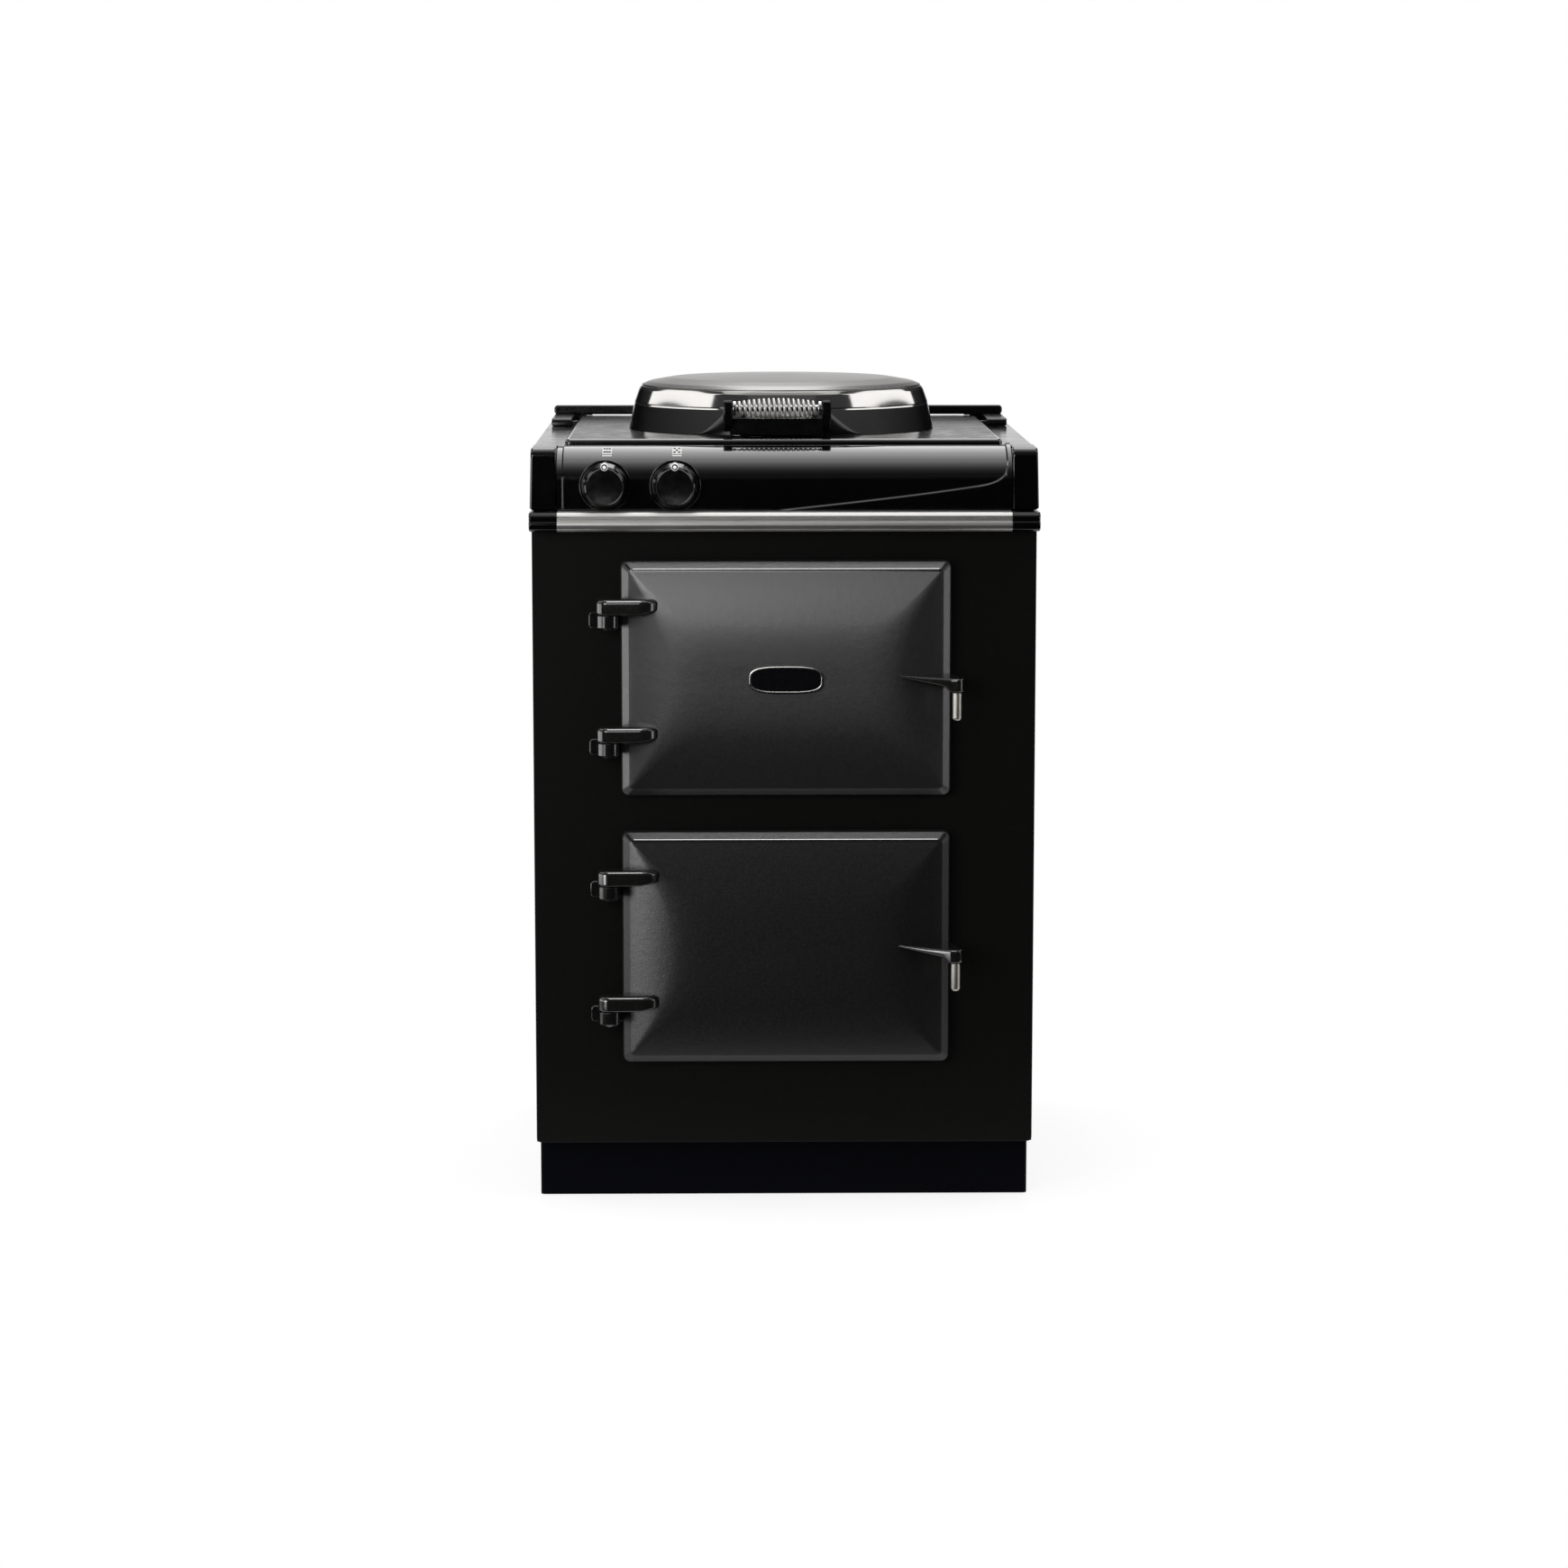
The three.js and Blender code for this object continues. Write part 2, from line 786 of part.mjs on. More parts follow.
// The domed cast door as loops from its back rim, over the drafted wall, to the middle.
function makeDoorCasting() {
  const loops = [];
  const add = (inset, corner, depthAt) => {
    loops.push(doorLoop(inset, corner).map(([x, z]) => new THREE.Vector3(x, -depthAt(x, z), z)));
  };
  const back = doorStandoff;
  add(1.5, doorCorner, () => back);
  add(0, doorCorner, () => back + 2);
  add(0.35 * doorDraft, doorCorner, () => back + 0.68 * doorRim);
  add(doorDraft - 2.5, doorCorner, () => doorFace - 1);
  const insets = [0, 8, 20, 36, 56, 80, 108];
  for (const inset of insets) {
    const corner = Math.max(doorCorner - 3 - inset, 0.6);
    add(doorDraft + inset, corner, (x, z) => doorFace + crownAt(x, z));
  }
  return closedLoft(loops);
}

// Loops of equal length skinned one to the next, both end loops closed by a fan from their middle.
function closedLoft(loops) {
  const count = loops[0].length;
  const vertices = loops.flat();
  const middle = (loop) => {
    const sum = loop.reduce((total, point) => total.add(point), new THREE.Vector3());
    return sum.divideScalar(loop.length);
  };
  const start = vertices.length;
  vertices.push(middle(loops[0]), middle(loops[loops.length - 1]));
  const index = [];
  for (let i = 0; i < loops.length - 1; i += 1) {
    for (let k = 0; k < count; k += 1) {
      const a = i * count + k;
      const b = i * count + ((k + 1) % count);
      index.push(a, b, b + count, a, b + count, a + count);
    }
  }
  const last = (loops.length - 1) * count;
  for (let k = 0; k < count; k += 1) {
    const next = (k + 1) % count;
    index.push(start, next, k, start + 1, last + k, last + next);
  }
  const geometry = new THREE.BufferGeometry().setFromPoints(vertices);
  geometry.setIndex(index);
  return geometry;
}

// Hinge lug cast on the door: an arm from the face round to the pin, bored from below.
function makeLug(plane) {
  const plan = new THREE.Shape();
  plan.absarc(0, 0, lugRadius, Math.PI / 2, 1.5 * Math.PI);
  plan.lineTo(0.62 * lugLength, -lugRadius + 1);
  plan.quadraticCurveTo(0.88 * lugLength, -lugRadius + 2, lugLength, hingeForward - doorFace - 10);
  plan.lineTo(lugLength, hingeForward - doorStandoff - 6);
  plan.lineTo(hingeReach + 6, hingeForward - doorStandoff - 6);
  plan.lineTo(hingeReach + 2, lugRadius);
  const bottom = plane + fit;
  const arm = raised(plan, lugThickness, 1.5, 4).translate(0, 0, bottom);
  const taper = outline([
    [0.6 * lugLength, bottom - 1],
    [lugLength + 1, bottom + 0.4 * lugThickness],
    [lugLength + 1, bottom - 1],
  ]);
  const bore = bar(hingePin + hingePinGap, hingePinLength + fit + 1, 10).translate(0, 0, bottom - 1);
  const shaped = cut(arm, frontal(taper, 2 * hingeForward, 4 * hingeForward));
  return {
    arm: shaped.translate(hingeX, -hingeForward, 0),
    bore: bore.translate(hingeX, -hingeForward, 0),
  };
}

// Handle arm cast on the door: pointed where it leaves the face, deep and hooked at its end.
function makeHandleArm() {
  const plan = new THREE.Shape();
  plan.moveTo(armRoot, -doorFace - 0.72 * doorCrown);
  plan.quadraticCurveTo(armEnd - 26, -armForward + 2, armEnd - 6, -armForward - armEndRadius + 1);
  plan.absarc(armEnd, -armForward, armEndRadius, -0.6 * Math.PI, 0.15 * Math.PI);
  plan.quadraticCurveTo(armEnd + 1, -doorFace - 8, doorWidth / 2 - 4, -doorStandoff - 6);
  plan.lineTo(armRoot, -doorStandoff - 8);
  const low = armTop - armDrop;
  const view = outline([
    [armRoot - 1, armTop],
    [armRoot - 1, armTop - armRootDepth],
    [armEnd - 14, armTop - 0.62 * armDrop],
    [armEnd - armEndRadius, low],
    [armEnd + armEndRadius + 1, low],
    [armEnd + armEndRadius + 1, armTop],
  ]);
  const slab = raised(plan, armDrop + 4, 2, 6).translate(0, 0, armTop - armDrop - 4);
  return common(slab, frontal(view, 0, armForward + armEndRadius + 5));
}

function makeDoorBody() {
  const planes = [-1, 1].map((end) => (end * hingeSpacing) / 2 + hingeLift);
  const lugs = planes.map(makeLug);
  const body = join(makeDoorCasting(), ...lugs.map((lug) => lug.arm), makeHandleArm());
  const reach = doorWidth / 2 - linerMargin;
  const rise = doorHeight / 2 - linerMargin;
  const seat = roundedRect([-reach - fit, reach + fit], [-rise - fit, rise + fit], doorCorner);
  const bay = roundedRect([-reach + 6, reach - 6], [-rise + 6, rise - 6], doorCorner);
  const inset = 6 + doorWellInset;
  const well = roundedRect([-reach + inset, reach - inset], [-rise + inset, rise - inset], doorCorner);
  const recess = linerSheet + fit;
  return cut(
    body,
    frontal(seat, 0, doorStandoff + recess),
    frontal(bay, 0, doorFace - doorShell + 2),
    frontal(well, 0, doorFace + 0.72 * doorCrown - doorShell),
    ...lugs.map((lug) => lug.bore),
  );
}

// Inner pan of a door: a flat flange let into the casting and a drawn plug that enters the oven.
function makeDoorLiner() {
  const reach = doorWidth / 2 - linerMargin;
  const rise = doorHeight / 2 - linerMargin;
  const plugReach = ovenWidth / 2 - plugClearance;
  const plugRise = ovenHeight / 2 - plugClearance;
  const flange = roundedRect([-reach, reach], [-rise, rise], doorCorner);
  const plug = roundedRect([-plugReach, plugReach], [-plugRise, plugRise], ovenCorner - 2);
  const hollow = roundedRect(
    [-plugReach + linerSheet, plugReach - linerSheet],
    [-plugRise + linerSheet, plugRise - linerSheet],
    ovenCorner - 3,
  );
  const depth = plugDepth + doorStandoff;
  return cut(
    join(frontal(flange, -doorStandoff, linerSheet), frontal(plug, plugDepth, depth + 1)),
    frontal(hollow, plugDepth - linerSheet, depth + 8),
  );
}

function makeGrip() {
  const profile = [
    [0, 0],
    [0.55 * gripRadius, 0.6],
    [gripRadius, 3],
    [gripRadius, gripLength - 1],
    [gripRadius - 1, gripLength],
    [0, gripLength],
  ];
  return turned(profile, 16);
}

function makeBadge() {
  const size = (inset) => [badgeWidth / 2 - inset, badgeHeight / 2 - inset];
  const plate = frontal(oval([0, 0], size(0), 32), 0, badgeThickness, 0.7);
  const field = oval([0, 0], size(badgeRimWidth), 32);
  return cut(plate, frontal(field, -badgeThickness + badgeRecess, badgeRecess + 1));
}

// Fixed hinge bracket: flange on the front panel, boss under the lug and the pin it carries.
function makeHingeBracket() {
  const top = -fit;
  const base = top - bossHeight;
  const flange = frontal(
    roundedRect([-bossFlangeReach, bossFlangeReach - 4], [base - 2, top], 4, 2),
    hingeForward - fit,
    bossFlange,
    1,
  );
  const boss = turned(
    [
      [0, base],
      [bossRadius - 3, base],
      [bossRadius, base + 3],
      [bossRadius, top - 1],
      [bossRadius - 1, top],
      [0, top],
    ],
    14,
  );
  const web = block([-bossRadius + 1, bossRadius - 4], [0, hingeForward - bossFlange], [base + 1, top - 2]);
  const pin = bar(hingePin, hingePinLength + 2, 10).translate(0, 0, top - 2);
  return join(flange, boss, web, pin);
}

// ---------------------------------------------------------------- fascia, cheeks, rail, controls

// Points (y, z) over the bullnose, from its top edge to the foot of the upright face.
function nosePoints(inset, steps) {
  const deep = fasciaBack + fasciaFront - inset;
  const high = noseHeight - inset;
  const crown = topHeight - noseHeight;
  const points = [];
  for (let i = 0; i <= steps; i += 1) {
    const angle = (Math.PI / 2) * (i / steps);
    points.push([fasciaBack - deep * Math.sin(angle), crown + high * Math.cos(angle)]);
  }
  return points;
}

function noseSection(inset, thickness) {
  const outer = nosePoints(inset, 9);
  const inner = nosePoints(inset + thickness, 9);
  outer.push([-fasciaFront + inset, fasciaBottom]);
  inner.push([-fasciaFront + inset + thickness, fasciaBottom]);
  return outline([...outer, ...inner.reverse()]);
}

// Outline, as seen from the front, of the raised field with its sweeping lower right edge.
function fieldOutline() {
  const left = -fasciaHalf + fieldInset;
  const right = fasciaHalf - fieldInset;
  const shape = new THREE.Shape();
  shape.moveTo(left, fasciaBottom - 1);
  const sweepEnd = right - fieldSweepRise;
  const run = sweepEnd - fieldSweepFrom;
  shape.lineTo(fieldSweepFrom, fasciaBottom - 1);
  shape.bezierCurveTo(
    fieldSweepFrom + 0.32 * run,
    fasciaBottom + 0.27 * fieldSweepRise,
    fieldSweepFrom + 0.68 * run,
    fasciaBottom + 0.57 * fieldSweepRise,
    sweepEnd,
    fasciaBottom + fieldSweepRise,
  );
  shape.quadraticCurveTo(right, fasciaBottom + fieldSweepRise + 5, right, fasciaBottom + fieldTurnRise);
  shape.lineTo(right, topHeight + 5);
  shape.lineTo(left, topHeight + 5);
  return shape;
}

function makeFascia() {
  const length = [-fasciaHalf + fit, fasciaHalf - fit];
  const shell = lengthwise(noseSection(0, fasciaWall), length);
  const ledge = block(length, [-fasciaFront + 1, fasciaLedge], [fasciaBottom, fasciaBottom + fasciaWall]);
  const field = common(
    lengthwise(noseSection(-fieldRaise, fieldRaise + fasciaWall / 2), length),
    frontal(fieldOutline(), fasciaBack - fit, fasciaBack + fasciaFront + 20, 0, 8),
  );
  const pads = [];
  const holes = [];
  for (const x of [leftKnobX, rightKnobX]) {
    const length = fasciaFront + 20 + knobBossRaise;
    const profile = [
      [0, 0],
      [knobBossRadius, 0],
      [knobBossRadius, length - 1],
      [knobBossRadius - 1, length],
      [0, length],
    ];
    pads.push(turned(profile, 32).rotateX(Math.PI / 2).translate(x, 20, knobHeight));
    const seat = barForward(thermostatNeck + fit, thermostatNeckLength);
    holes.push(
      barForward(spindleRadius + 1, 60).translate(x, 40, knobHeight),
      seat.translate(x, thermostatNeckLength - fasciaFront + fasciaWall, knobHeight),
    );
  }
  const inside = [...nosePoints(fasciaWall, 9), [-fasciaFront + fasciaWall, fasciaBottom + fasciaWall]];
  const hollow = outline([...inside, [fasciaBack, fasciaBottom + fasciaWall]]);
  const below = block(length, [-60, 60], [fasciaBottom - 60, fasciaBottom]);
  const solidPads = cut(join(...pads), lengthwise(hollow, length), below);
  return cut(join(shell, ledge, field, solidPads), ...holes);
}

// End cheek: a block with the nose's outline, flared outwards towards its foot.
function makeCheek(side) {
  const points = nosePoints(-fieldRaise, 9);
  const foot = -fasciaFront - fieldRaise;
  const section = outline([...points, [foot, fasciaBottom + 1], [fasciaBack, fasciaBottom + 1]]);
  const inner = fasciaHalf + fit;
  const length = side > 0 ? [inner, half] : [-half, -inner];
  const geometry = lengthwise(section, length, cheekEdge);
  const position = geometry.attributes.position;
  const middle = (inner + half) / 2;
  for (let i = 0; i < position.count; i += 1) {
    const x = position.getX(i);
    const fall = (topHeight - position.getZ(i)) / (topHeight - fasciaBottom);
    if (Math.abs(x) > middle) position.setX(i, x + side * cheekFlare * fall);
  }
  const keep = block([-half - 9, half + 9], [-60, fasciaBack], [fasciaBottom, topHeight + 9]);
  return common(geometry, keep);
}

// Cross-section (y, z) of the front rail: rolled top, groove and rounded lower lip.
function railSection(inset) {
  const front = -railForward + inset;
  const top = frontTop - fit - inset;
  const bottom = frontTop - fit - railHeight + inset;
  const line = frontTop - fit - 0.36 * railHeight;
  const groove = [
    [front, line + 1],
    [front + railGroove, line],
    [front + railGroove, line - 1.6],
    [front, line - 2.6],
  ];
  return [
    [-fit, top],
    [front + 6, top],
    [front + 1.6, top - 1.6],
    [front, top - 5],
    ...(inset > 0 ? [] : groove),
    [front, bottom + 5],
    [front + 2, bottom + 1.6],
    [front + 7, bottom],
    [-fit, bottom],
  ];
}

function makeRail() {
  const hollow = outline(railSection(railWall).map(([y, z]) => [y > -1 ? 1 : y, z]));
  return cut(
    lengthwise(outline(railSection(0)), [-railHalf, railHalf]),
    lengthwise(hollow, [-railHalf - 1, railHalf + 1]),
  );
}

function makeRailCap(side) {
  const from = railHalf + fit;
  const to = half + cheekFlare;
  const span = (a, b) => (side > 0 ? [a, b] : [-b, -a]);
  const cap = lengthwise(outline(railSection(0)), span(from, to), 1);
  const tongue = lengthwise(outline(railSection(railWall + fit)), span(from - railCapTongue, from + 2));
  return join(cap, tongue);
}

function makeKnob() {
  const profile = [
    [0, 0],
    [knobSkirtRadius, 0],
    [knobSkirtRadius, 2],
    [knobFaceRadius + 3.2, 0.45 * knobDepth],
    [knobFaceRadius + 1, knobDepth - 2.5],
    [knobFaceRadius - 0.5, knobDepth - 0.4],
    [0.6 * knobFaceRadius, knobDepth],
    [0, knobDepth + 0.2],
  ];
  const socket = barForward(spindleRadius + fit, knobDepth - 5, 16).translate(0, 1, 0);
  return cut(turned(profile, 24).rotateX(Math.PI / 2), socket);
}

function makeThermostat() {
  const rear = thermostatNeckLength + thermostatDepth;
  const body = barForward(thermostatRadius, thermostatDepth).translate(0, rear, 0);
  const neck = barForward(thermostatNeck, thermostatNeckLength + 1).translate(0, thermostatNeckLength + 1, 0);
  const bore = barForward(spindleRadius + fit, rear - 6).translate(0, rear - 7, 0);
  return cut(join(body, neck), bore);
}

// ---------------------------------------------------------------- hob

function makeSurround() {
  const wall = surroundWall;
  const shape = roundedRect([-half, half], [surroundFront, bodyDepth], 6);
  const top = raised(shape, surroundDepth, surroundEdge).translate(0, 0, surroundBottom);
  const pocket = block(
    [-half + wall, half - wall],
    [surroundFront + wall, bodyDepth - wall],
    [surroundBottom - 1, topHeight - wall],
  );
  const reach = plateHalf - surroundLandX;
  const opening = block(
    [-reach, reach],
    [plateFront + surroundLandY, plateRear - surroundLandY],
    [surroundBottom, topHeight + 1],
  );
  return cut(top, pocket, opening);
}

function makePlate() {
  const shape = roundedRect([-plateHalf, plateHalf], [plateFront, plateRear], plateCorner);
  const well = hotplateRadius + hotplateGap;
  const plate = ringOf(shape, oval([0, lidCentreY], [well, well], 40));
  return raised(plate, plateRise - fit, plateEdge).translate(0, 0, topHeight + fit);
}

function makeHotplate() {
  const top = hotplateThickness;
  const profile = [
    [0, 0],
    [hotplateRadius - 6, 0],
    [hotplateRadius - 6, top - 12],
    [hotplateRadius, top - 8],
    [hotplateRadius, top - 1],
    [hotplateRadius - 1, top],
    [0, top],
  ];
  return turned(profile, 32);
}

function makeHotplateRing() {
  const inner = hotplateRadius + fit;
  const outer = hotplateRadius + ringWidth;
  const profile = [
    [inner, -ringLip],
    [inner + ringThickness, -ringLip],
    [inner + ringThickness, 0],
    [outer, 0],
    [outer, 0.5 * ringThickness],
    [outer - 1, ringThickness],
    [inner, ringThickness],
  ];
  return turned(profile, 32);
}

function makeElementPad() {
  const profile = [
    [elementPadHole, 0],
    [hotplateRadius - 20, 0],
    [hotplateRadius - 20, elementPadThickness],
    [elementPadHole, elementPadThickness],
  ];
  return turned(profile, 24);
}

// ---------------------------------------------------------------- guard rail

function makeGuardRail() {
  const bottom = plateTop + guardClearance;
  const face = roundedRect([-guardHalf, guardHalf], [bottom, bottom + guardThickness], 4);
  const barAcross = frontal(face, guardY + guardDepth, guardDepth, 1.5);
  const pads = [-1, 1].map((side) => {
    const x0 = side * (guardHalf - guardPadInset) - guardPadWidth / 2;
    return block(
      [x0, x0 + guardPadWidth],
      [guardY + 1, plateRear - plateEdge],
      [plateTop + fit, bottom + 2],
    );
  });
  return join(barAcross, ...pads);
}

function makeGuardFoot(side) {
  const outer = guardHalf - 1;
  const inner = outer - guardFootWidth;
  const span = side > 0 ? [inner, outer] : [-outer, -inner];
  const top = plateTop + guardClearance - fit;
  const rear = guardY + guardDepth;
  const bottom = topHeight + fit;
  const section = outline([
    [rear, bottom],
    [rear, top],
    [rear - guardFootLength + guardFootEdge, top],
    [rear - guardFootLength, top - guardFootEdge],
    [rear - guardFootLength, bottom],
  ]);
  return lengthwise(section, span, 1.2);
}

// ---------------------------------------------------------------- lid

// Outer profile of the lid, [radius, height], offset outwards by grow.
function lidProfile(grow) {
  return [
    [lidRadius + grow, lidLift],
    [lidShoulderRadius + 1.5 + grow, lidShoulderHeight - 4.5 + 0.2 * grow],
    [lidShoulderRadius + grow, lidShoulderHeight + 0.4 * grow],
    [lidRimRadius + 2.6 + grow, lidRimHeight - 4.6 + 0.5 * grow],
    [lidRimRadius + 0.7 * grow, lidRimHeight + 0.8 * grow],
    [lidRimRadius - 10, lidRimHeight + 4.7 + grow],
    [0.72 * lidRadius, lidRimHeight + 9.3 + grow],
    [0, lidCrownHeight + grow],
  ];
}

function makeLidCover() {
  const outside = lidProfile(0);
  const inside = lidProfile(-lidSheet);
  return turned([...outside, ...inside.reverse()], lidFacets);
}

function lidBlank() {
  return turned([[0, lidLift - 5], [lidRadius + fit, lidLift - 5], ...lidProfile(fit)], lidFacets);
}

function makeLidLiner() {
  const slope = (lidRadius - lidShoulderRadius - 1.5) / (lidShoulderHeight - 4.5 - lidLift);
  const radiusAt = (z) => lidRadius - lidSheet - fit - 0.1 - slope * (z - lidLift);
  const low = lidLinerLift;
  const high = lidLinerLift + lidLinerWall;
  const profile = [
    [0, low],
    [radiusAt(low) - 3, low],
    [radiusAt(low + 3), low + 3],
    [radiusAt(high), high],
    [radiusAt(high) - lidSheet, high],
    [radiusAt(low + 3) - lidSheet, low + 3.6],
    [radiusAt(low) - 3.6, low + lidSheet],
    [0, low + lidSheet],
  ];
  return turned(profile, lidFacets);
}

function makeLidHingeArm() {
  const reach = lidHingeY - lidCentreY;
  const length = [-lidKnuckleLength / 2, lidKnuckleLength / 2];
  const knuckle = barAlongX(lidKnuckleRadius, length, 16).translate(0, reach, lidHingeHeight);
  const web = lengthwise(
    outline([
      [lidShoulderRadius - 10, lidHingeHeight - 7],
      [reach, lidHingeHeight - 7],
      [reach, lidHingeHeight + 8],
      [lidShoulderRadius - 10, lidHingeHeight + 12],
    ]),
    length,
  );
  const bore = barAlongX(lidHingePin + 0.5, [length[0] - 1, length[1] + 1], 16);
  return cut(join(knuckle, web), lidBlank(), bore.translate(0, reach, lidHingeHeight));
}

// Fixed hinge of the lid: a foot on the plate, two ears and the pin between them.
function makeLidHingeBase() {
  const inner = lidKnuckleLength / 2 + fit;
  const outer = inner + lidEarThickness;
  const foot = roundedRect([-outer - 6, outer + 6], [-lidHingeFootFront, lidHingeFootRear], 4);
  const base = raised(foot, lidHingeBase, 1).translate(0, 0, fit);
  const ears = [-1, 1].map((side) => {
    const span = side > 0 ? [inner, outer] : [-outer, -inner];
    const section = new THREE.Shape();
    section.absarc(0, lidHingeHeight, lidKnuckleRadius, 0, Math.PI);
    section.lineTo(-lidKnuckleRadius - 3, fit + 1);
    section.lineTo(lidKnuckleRadius + 10, fit + 1);
    return lengthwise(section, span, 1);
  });
  const pin = barAlongX(lidHingePin, [-inner - 2, inner + 2], 16).translate(0, 0, lidHingeHeight);
  return join(base, ...ears, pin);
}

// Bracket of the lid handle: two posts on a shelf with a front apron, shaped to the lid's side.
function makeHandleBracket() {
  const inner = handleClear / 2;
  const outer = inner + handlePostWidth;
  const front = -handleForward - handlePostDepth / 2;
  const back = front + handlePostDepth;
  const foot = handleApronBottom + 4;
  const posts = [-1, 1].map((side) => {
    const span = side > 0 ? [inner, outer] : [-outer, -inner];
    const section = new THREE.Shape();
    section.moveTo(front + 2, handleHeight + handlePostTop);
    section.lineTo(front, handleHeight + handlePostTop - 2);
    section.lineTo(front, handleHeight - 8);
    section.quadraticCurveTo(front + 2, handleShelfHeight - 10, -handleShelfForward + 8, foot);
    section.lineTo(-lidRadius + 12, foot);
    section.lineTo(-lidRadius + 12, handleShelfHeight);
    section.quadraticCurveTo(back + 2, handleShelfHeight, back, handleHeight);
    section.lineTo(back, handleHeight + handlePostTop - 2);
    section.lineTo(back - 2, handleHeight + handlePostTop);
    return lengthwise(section, span, 1.5);
  });
  const shelf = block(
    [-inner - 2, inner + 2],
    [-handleShelfForward, -lidRadius + 14],
    [handleShelfHeight - handleShelfThickness, handleShelfHeight],
  );
  const apron = block(
    [-inner - 2, inner + 2],
    [-handleShelfForward, -handleShelfForward + handleShelfThickness],
    [handleApronBottom, handleShelfHeight],
  );
  const bracket = join(...posts, shelf, apron).translate(handleOffset, 0, 0);
  return cut(bracket, lidBlank());
}

function makeHandleRod() {
  const length = handleClear - 2 * fit;
  const near = handleCollarThickness;
  const far = length - handleCollarThickness;
  const profile = [
    [0, 0],
    [handleCollar, 0],
    [handleCollar, near],
    [handleRod, near],
    [handleRod, far],
    [handleCollar, far],
    [handleCollar, length],
    [0, length],
  ];
  return turned(profile, 16).rotateY(Math.PI / 2).translate(-length / 2, 0, 0);
}

// Centre line of the barrel-shaped coil grip. Its ends leave the helix in a short bend and run
// straight for one wire diameter, square to the collars they meet.
function coilPoints() {
  const steps = 8;
  const bend = 3;
  const reach = handleClear / 2 - 2 * fit - handleCollarThickness;
  const straight = 2 * coilWire;
  const lead = 2.4;
  const wound = reach - straight - lead;
  const total = coilTurns * steps;
  const turnStep = (2 * Math.PI) / steps;
  const at = (x, radius, angle) => new THREE.Vector3(x, radius * Math.cos(angle), radius * Math.sin(angle));
  const points = [];
  const last = total * turnStep;
  for (let i = 0; i <= total; i += 1) {
    const t = i / total;
    const swell = Math.sin(Math.PI * t) ** 0.75;
    const radius = coilEndRadius + (coilMiddleRadius - coilEndRadius) * swell;
    points.push(at(-wound + 2 * wound * t, radius, i * turnStep));
  }
  let angle = 0;
  for (let i = 1; i <= bend; i += 1) {
    const ease = i / bend;
    angle += turnStep * 0.75 * (1 - ease * 0.85);
    const x = wound + lead * ease * ease;
    points.unshift(at(-x, coilEndRadius, -angle));
    points.push(at(x, coilEndRadius, last + angle));
  }
  points.unshift(at(-reach, coilEndRadius, -angle));
  points.push(at(reach, coilEndRadius, last + angle));
  return points;
}

// Least clearance of a swept bar to itself, between stretches at least half a turn apart.
function leastGap(points, radius) {
  const apart = 4;
  let least = Infinity;
  for (let i = 0; i < points.length; i += 1) {
    for (let j = i + apart; j < points.length; j += 1) {
      least = Math.min(least, points[i].distanceTo(points[j]) - 2 * radius);
    }
  }
  return least;
}

function makeCoil() {
  const points = coilPoints();
  console.log("coil grip: least gap to itself " + leastGap(points, coilWire).toFixed(2) + " mm");
  return sweep(points, coilWire, 5);
}

// ---------------------------------------------------------------- assembly

const range = new THREE.Group();
const layout = new THREE.Group();
const frontMost = armForward + armEndRadius;
layout.position.y = -(bodyDepth - frontMost) / 2;
range.add(layout);

part(layout, "plinth", makePlinth(), plinthPaint);
for (const [end, y] of [["front", plinthSetback + footInsetY], ["rear", bodyDepth - footInsetY]]) {
  for (const [hand, side] of [["left", -1], ["right", 1]]) {
    part(layout, `foot_${end}_${hand}`, makeFoot(), zinc, [side * (half - footInsetX), y, 0]);
  }
}
part(layout, "base_tray", makeBaseTray(), zinc);
part(layout, "front_panel", makeFrontPanel(), enamel);
part(layout, "side_panel_left", makeSidePanel(-1), enamel);
part(layout, "side_panel_right", makeSidePanel(1), enamel);
part(layout, "back_panel", makeBackPanel(), zinc);
part(layout, "cable_gland", makeCableGland(), blackTrim, [glandX, backFace + fit, glandZ]);
part(layout, "insulation", makeInsulation(), wool);

part(layout, "fascia", makeFascia(), enamel);
part(layout, "cheek_left", makeCheek(-1), enamel);
part(layout, "cheek_right", makeCheek(1), enamel);
part(layout, "front_rail", makeRail(), brushed);
part(layout, "rail_cap_left", makeRailCap(-1), blackTrim);
part(layout, "rail_cap_right", makeRailCap(1), blackTrim);

part(layout, "top_surround", makeSurround(), enamel);
part(layout, "centre_plate", makePlate(), enamel);
part(layout, "hotplate_element", makeElementPad(), zinc, [0, lidCentreY, elementPadBottom]);
part(layout, "hotplate", makeHotplate(), castIron, [0, lidCentreY, hotplateBottom]);
part(layout, "hotplate_ring", makeHotplateRing(), brushed, [0, lidCentreY, plateTop + fit]);
part(layout, "guard_rail", makeGuardRail(), blackTrim);
part(layout, "guard_foot_left", makeGuardFoot(-1), blackTrim);
part(layout, "guard_foot_right", makeGuardFoot(1), blackTrim);
part(layout, "lid_hinge_base", makeLidHingeBase(), blackTrim, [0, lidHingeY, plateTop]);

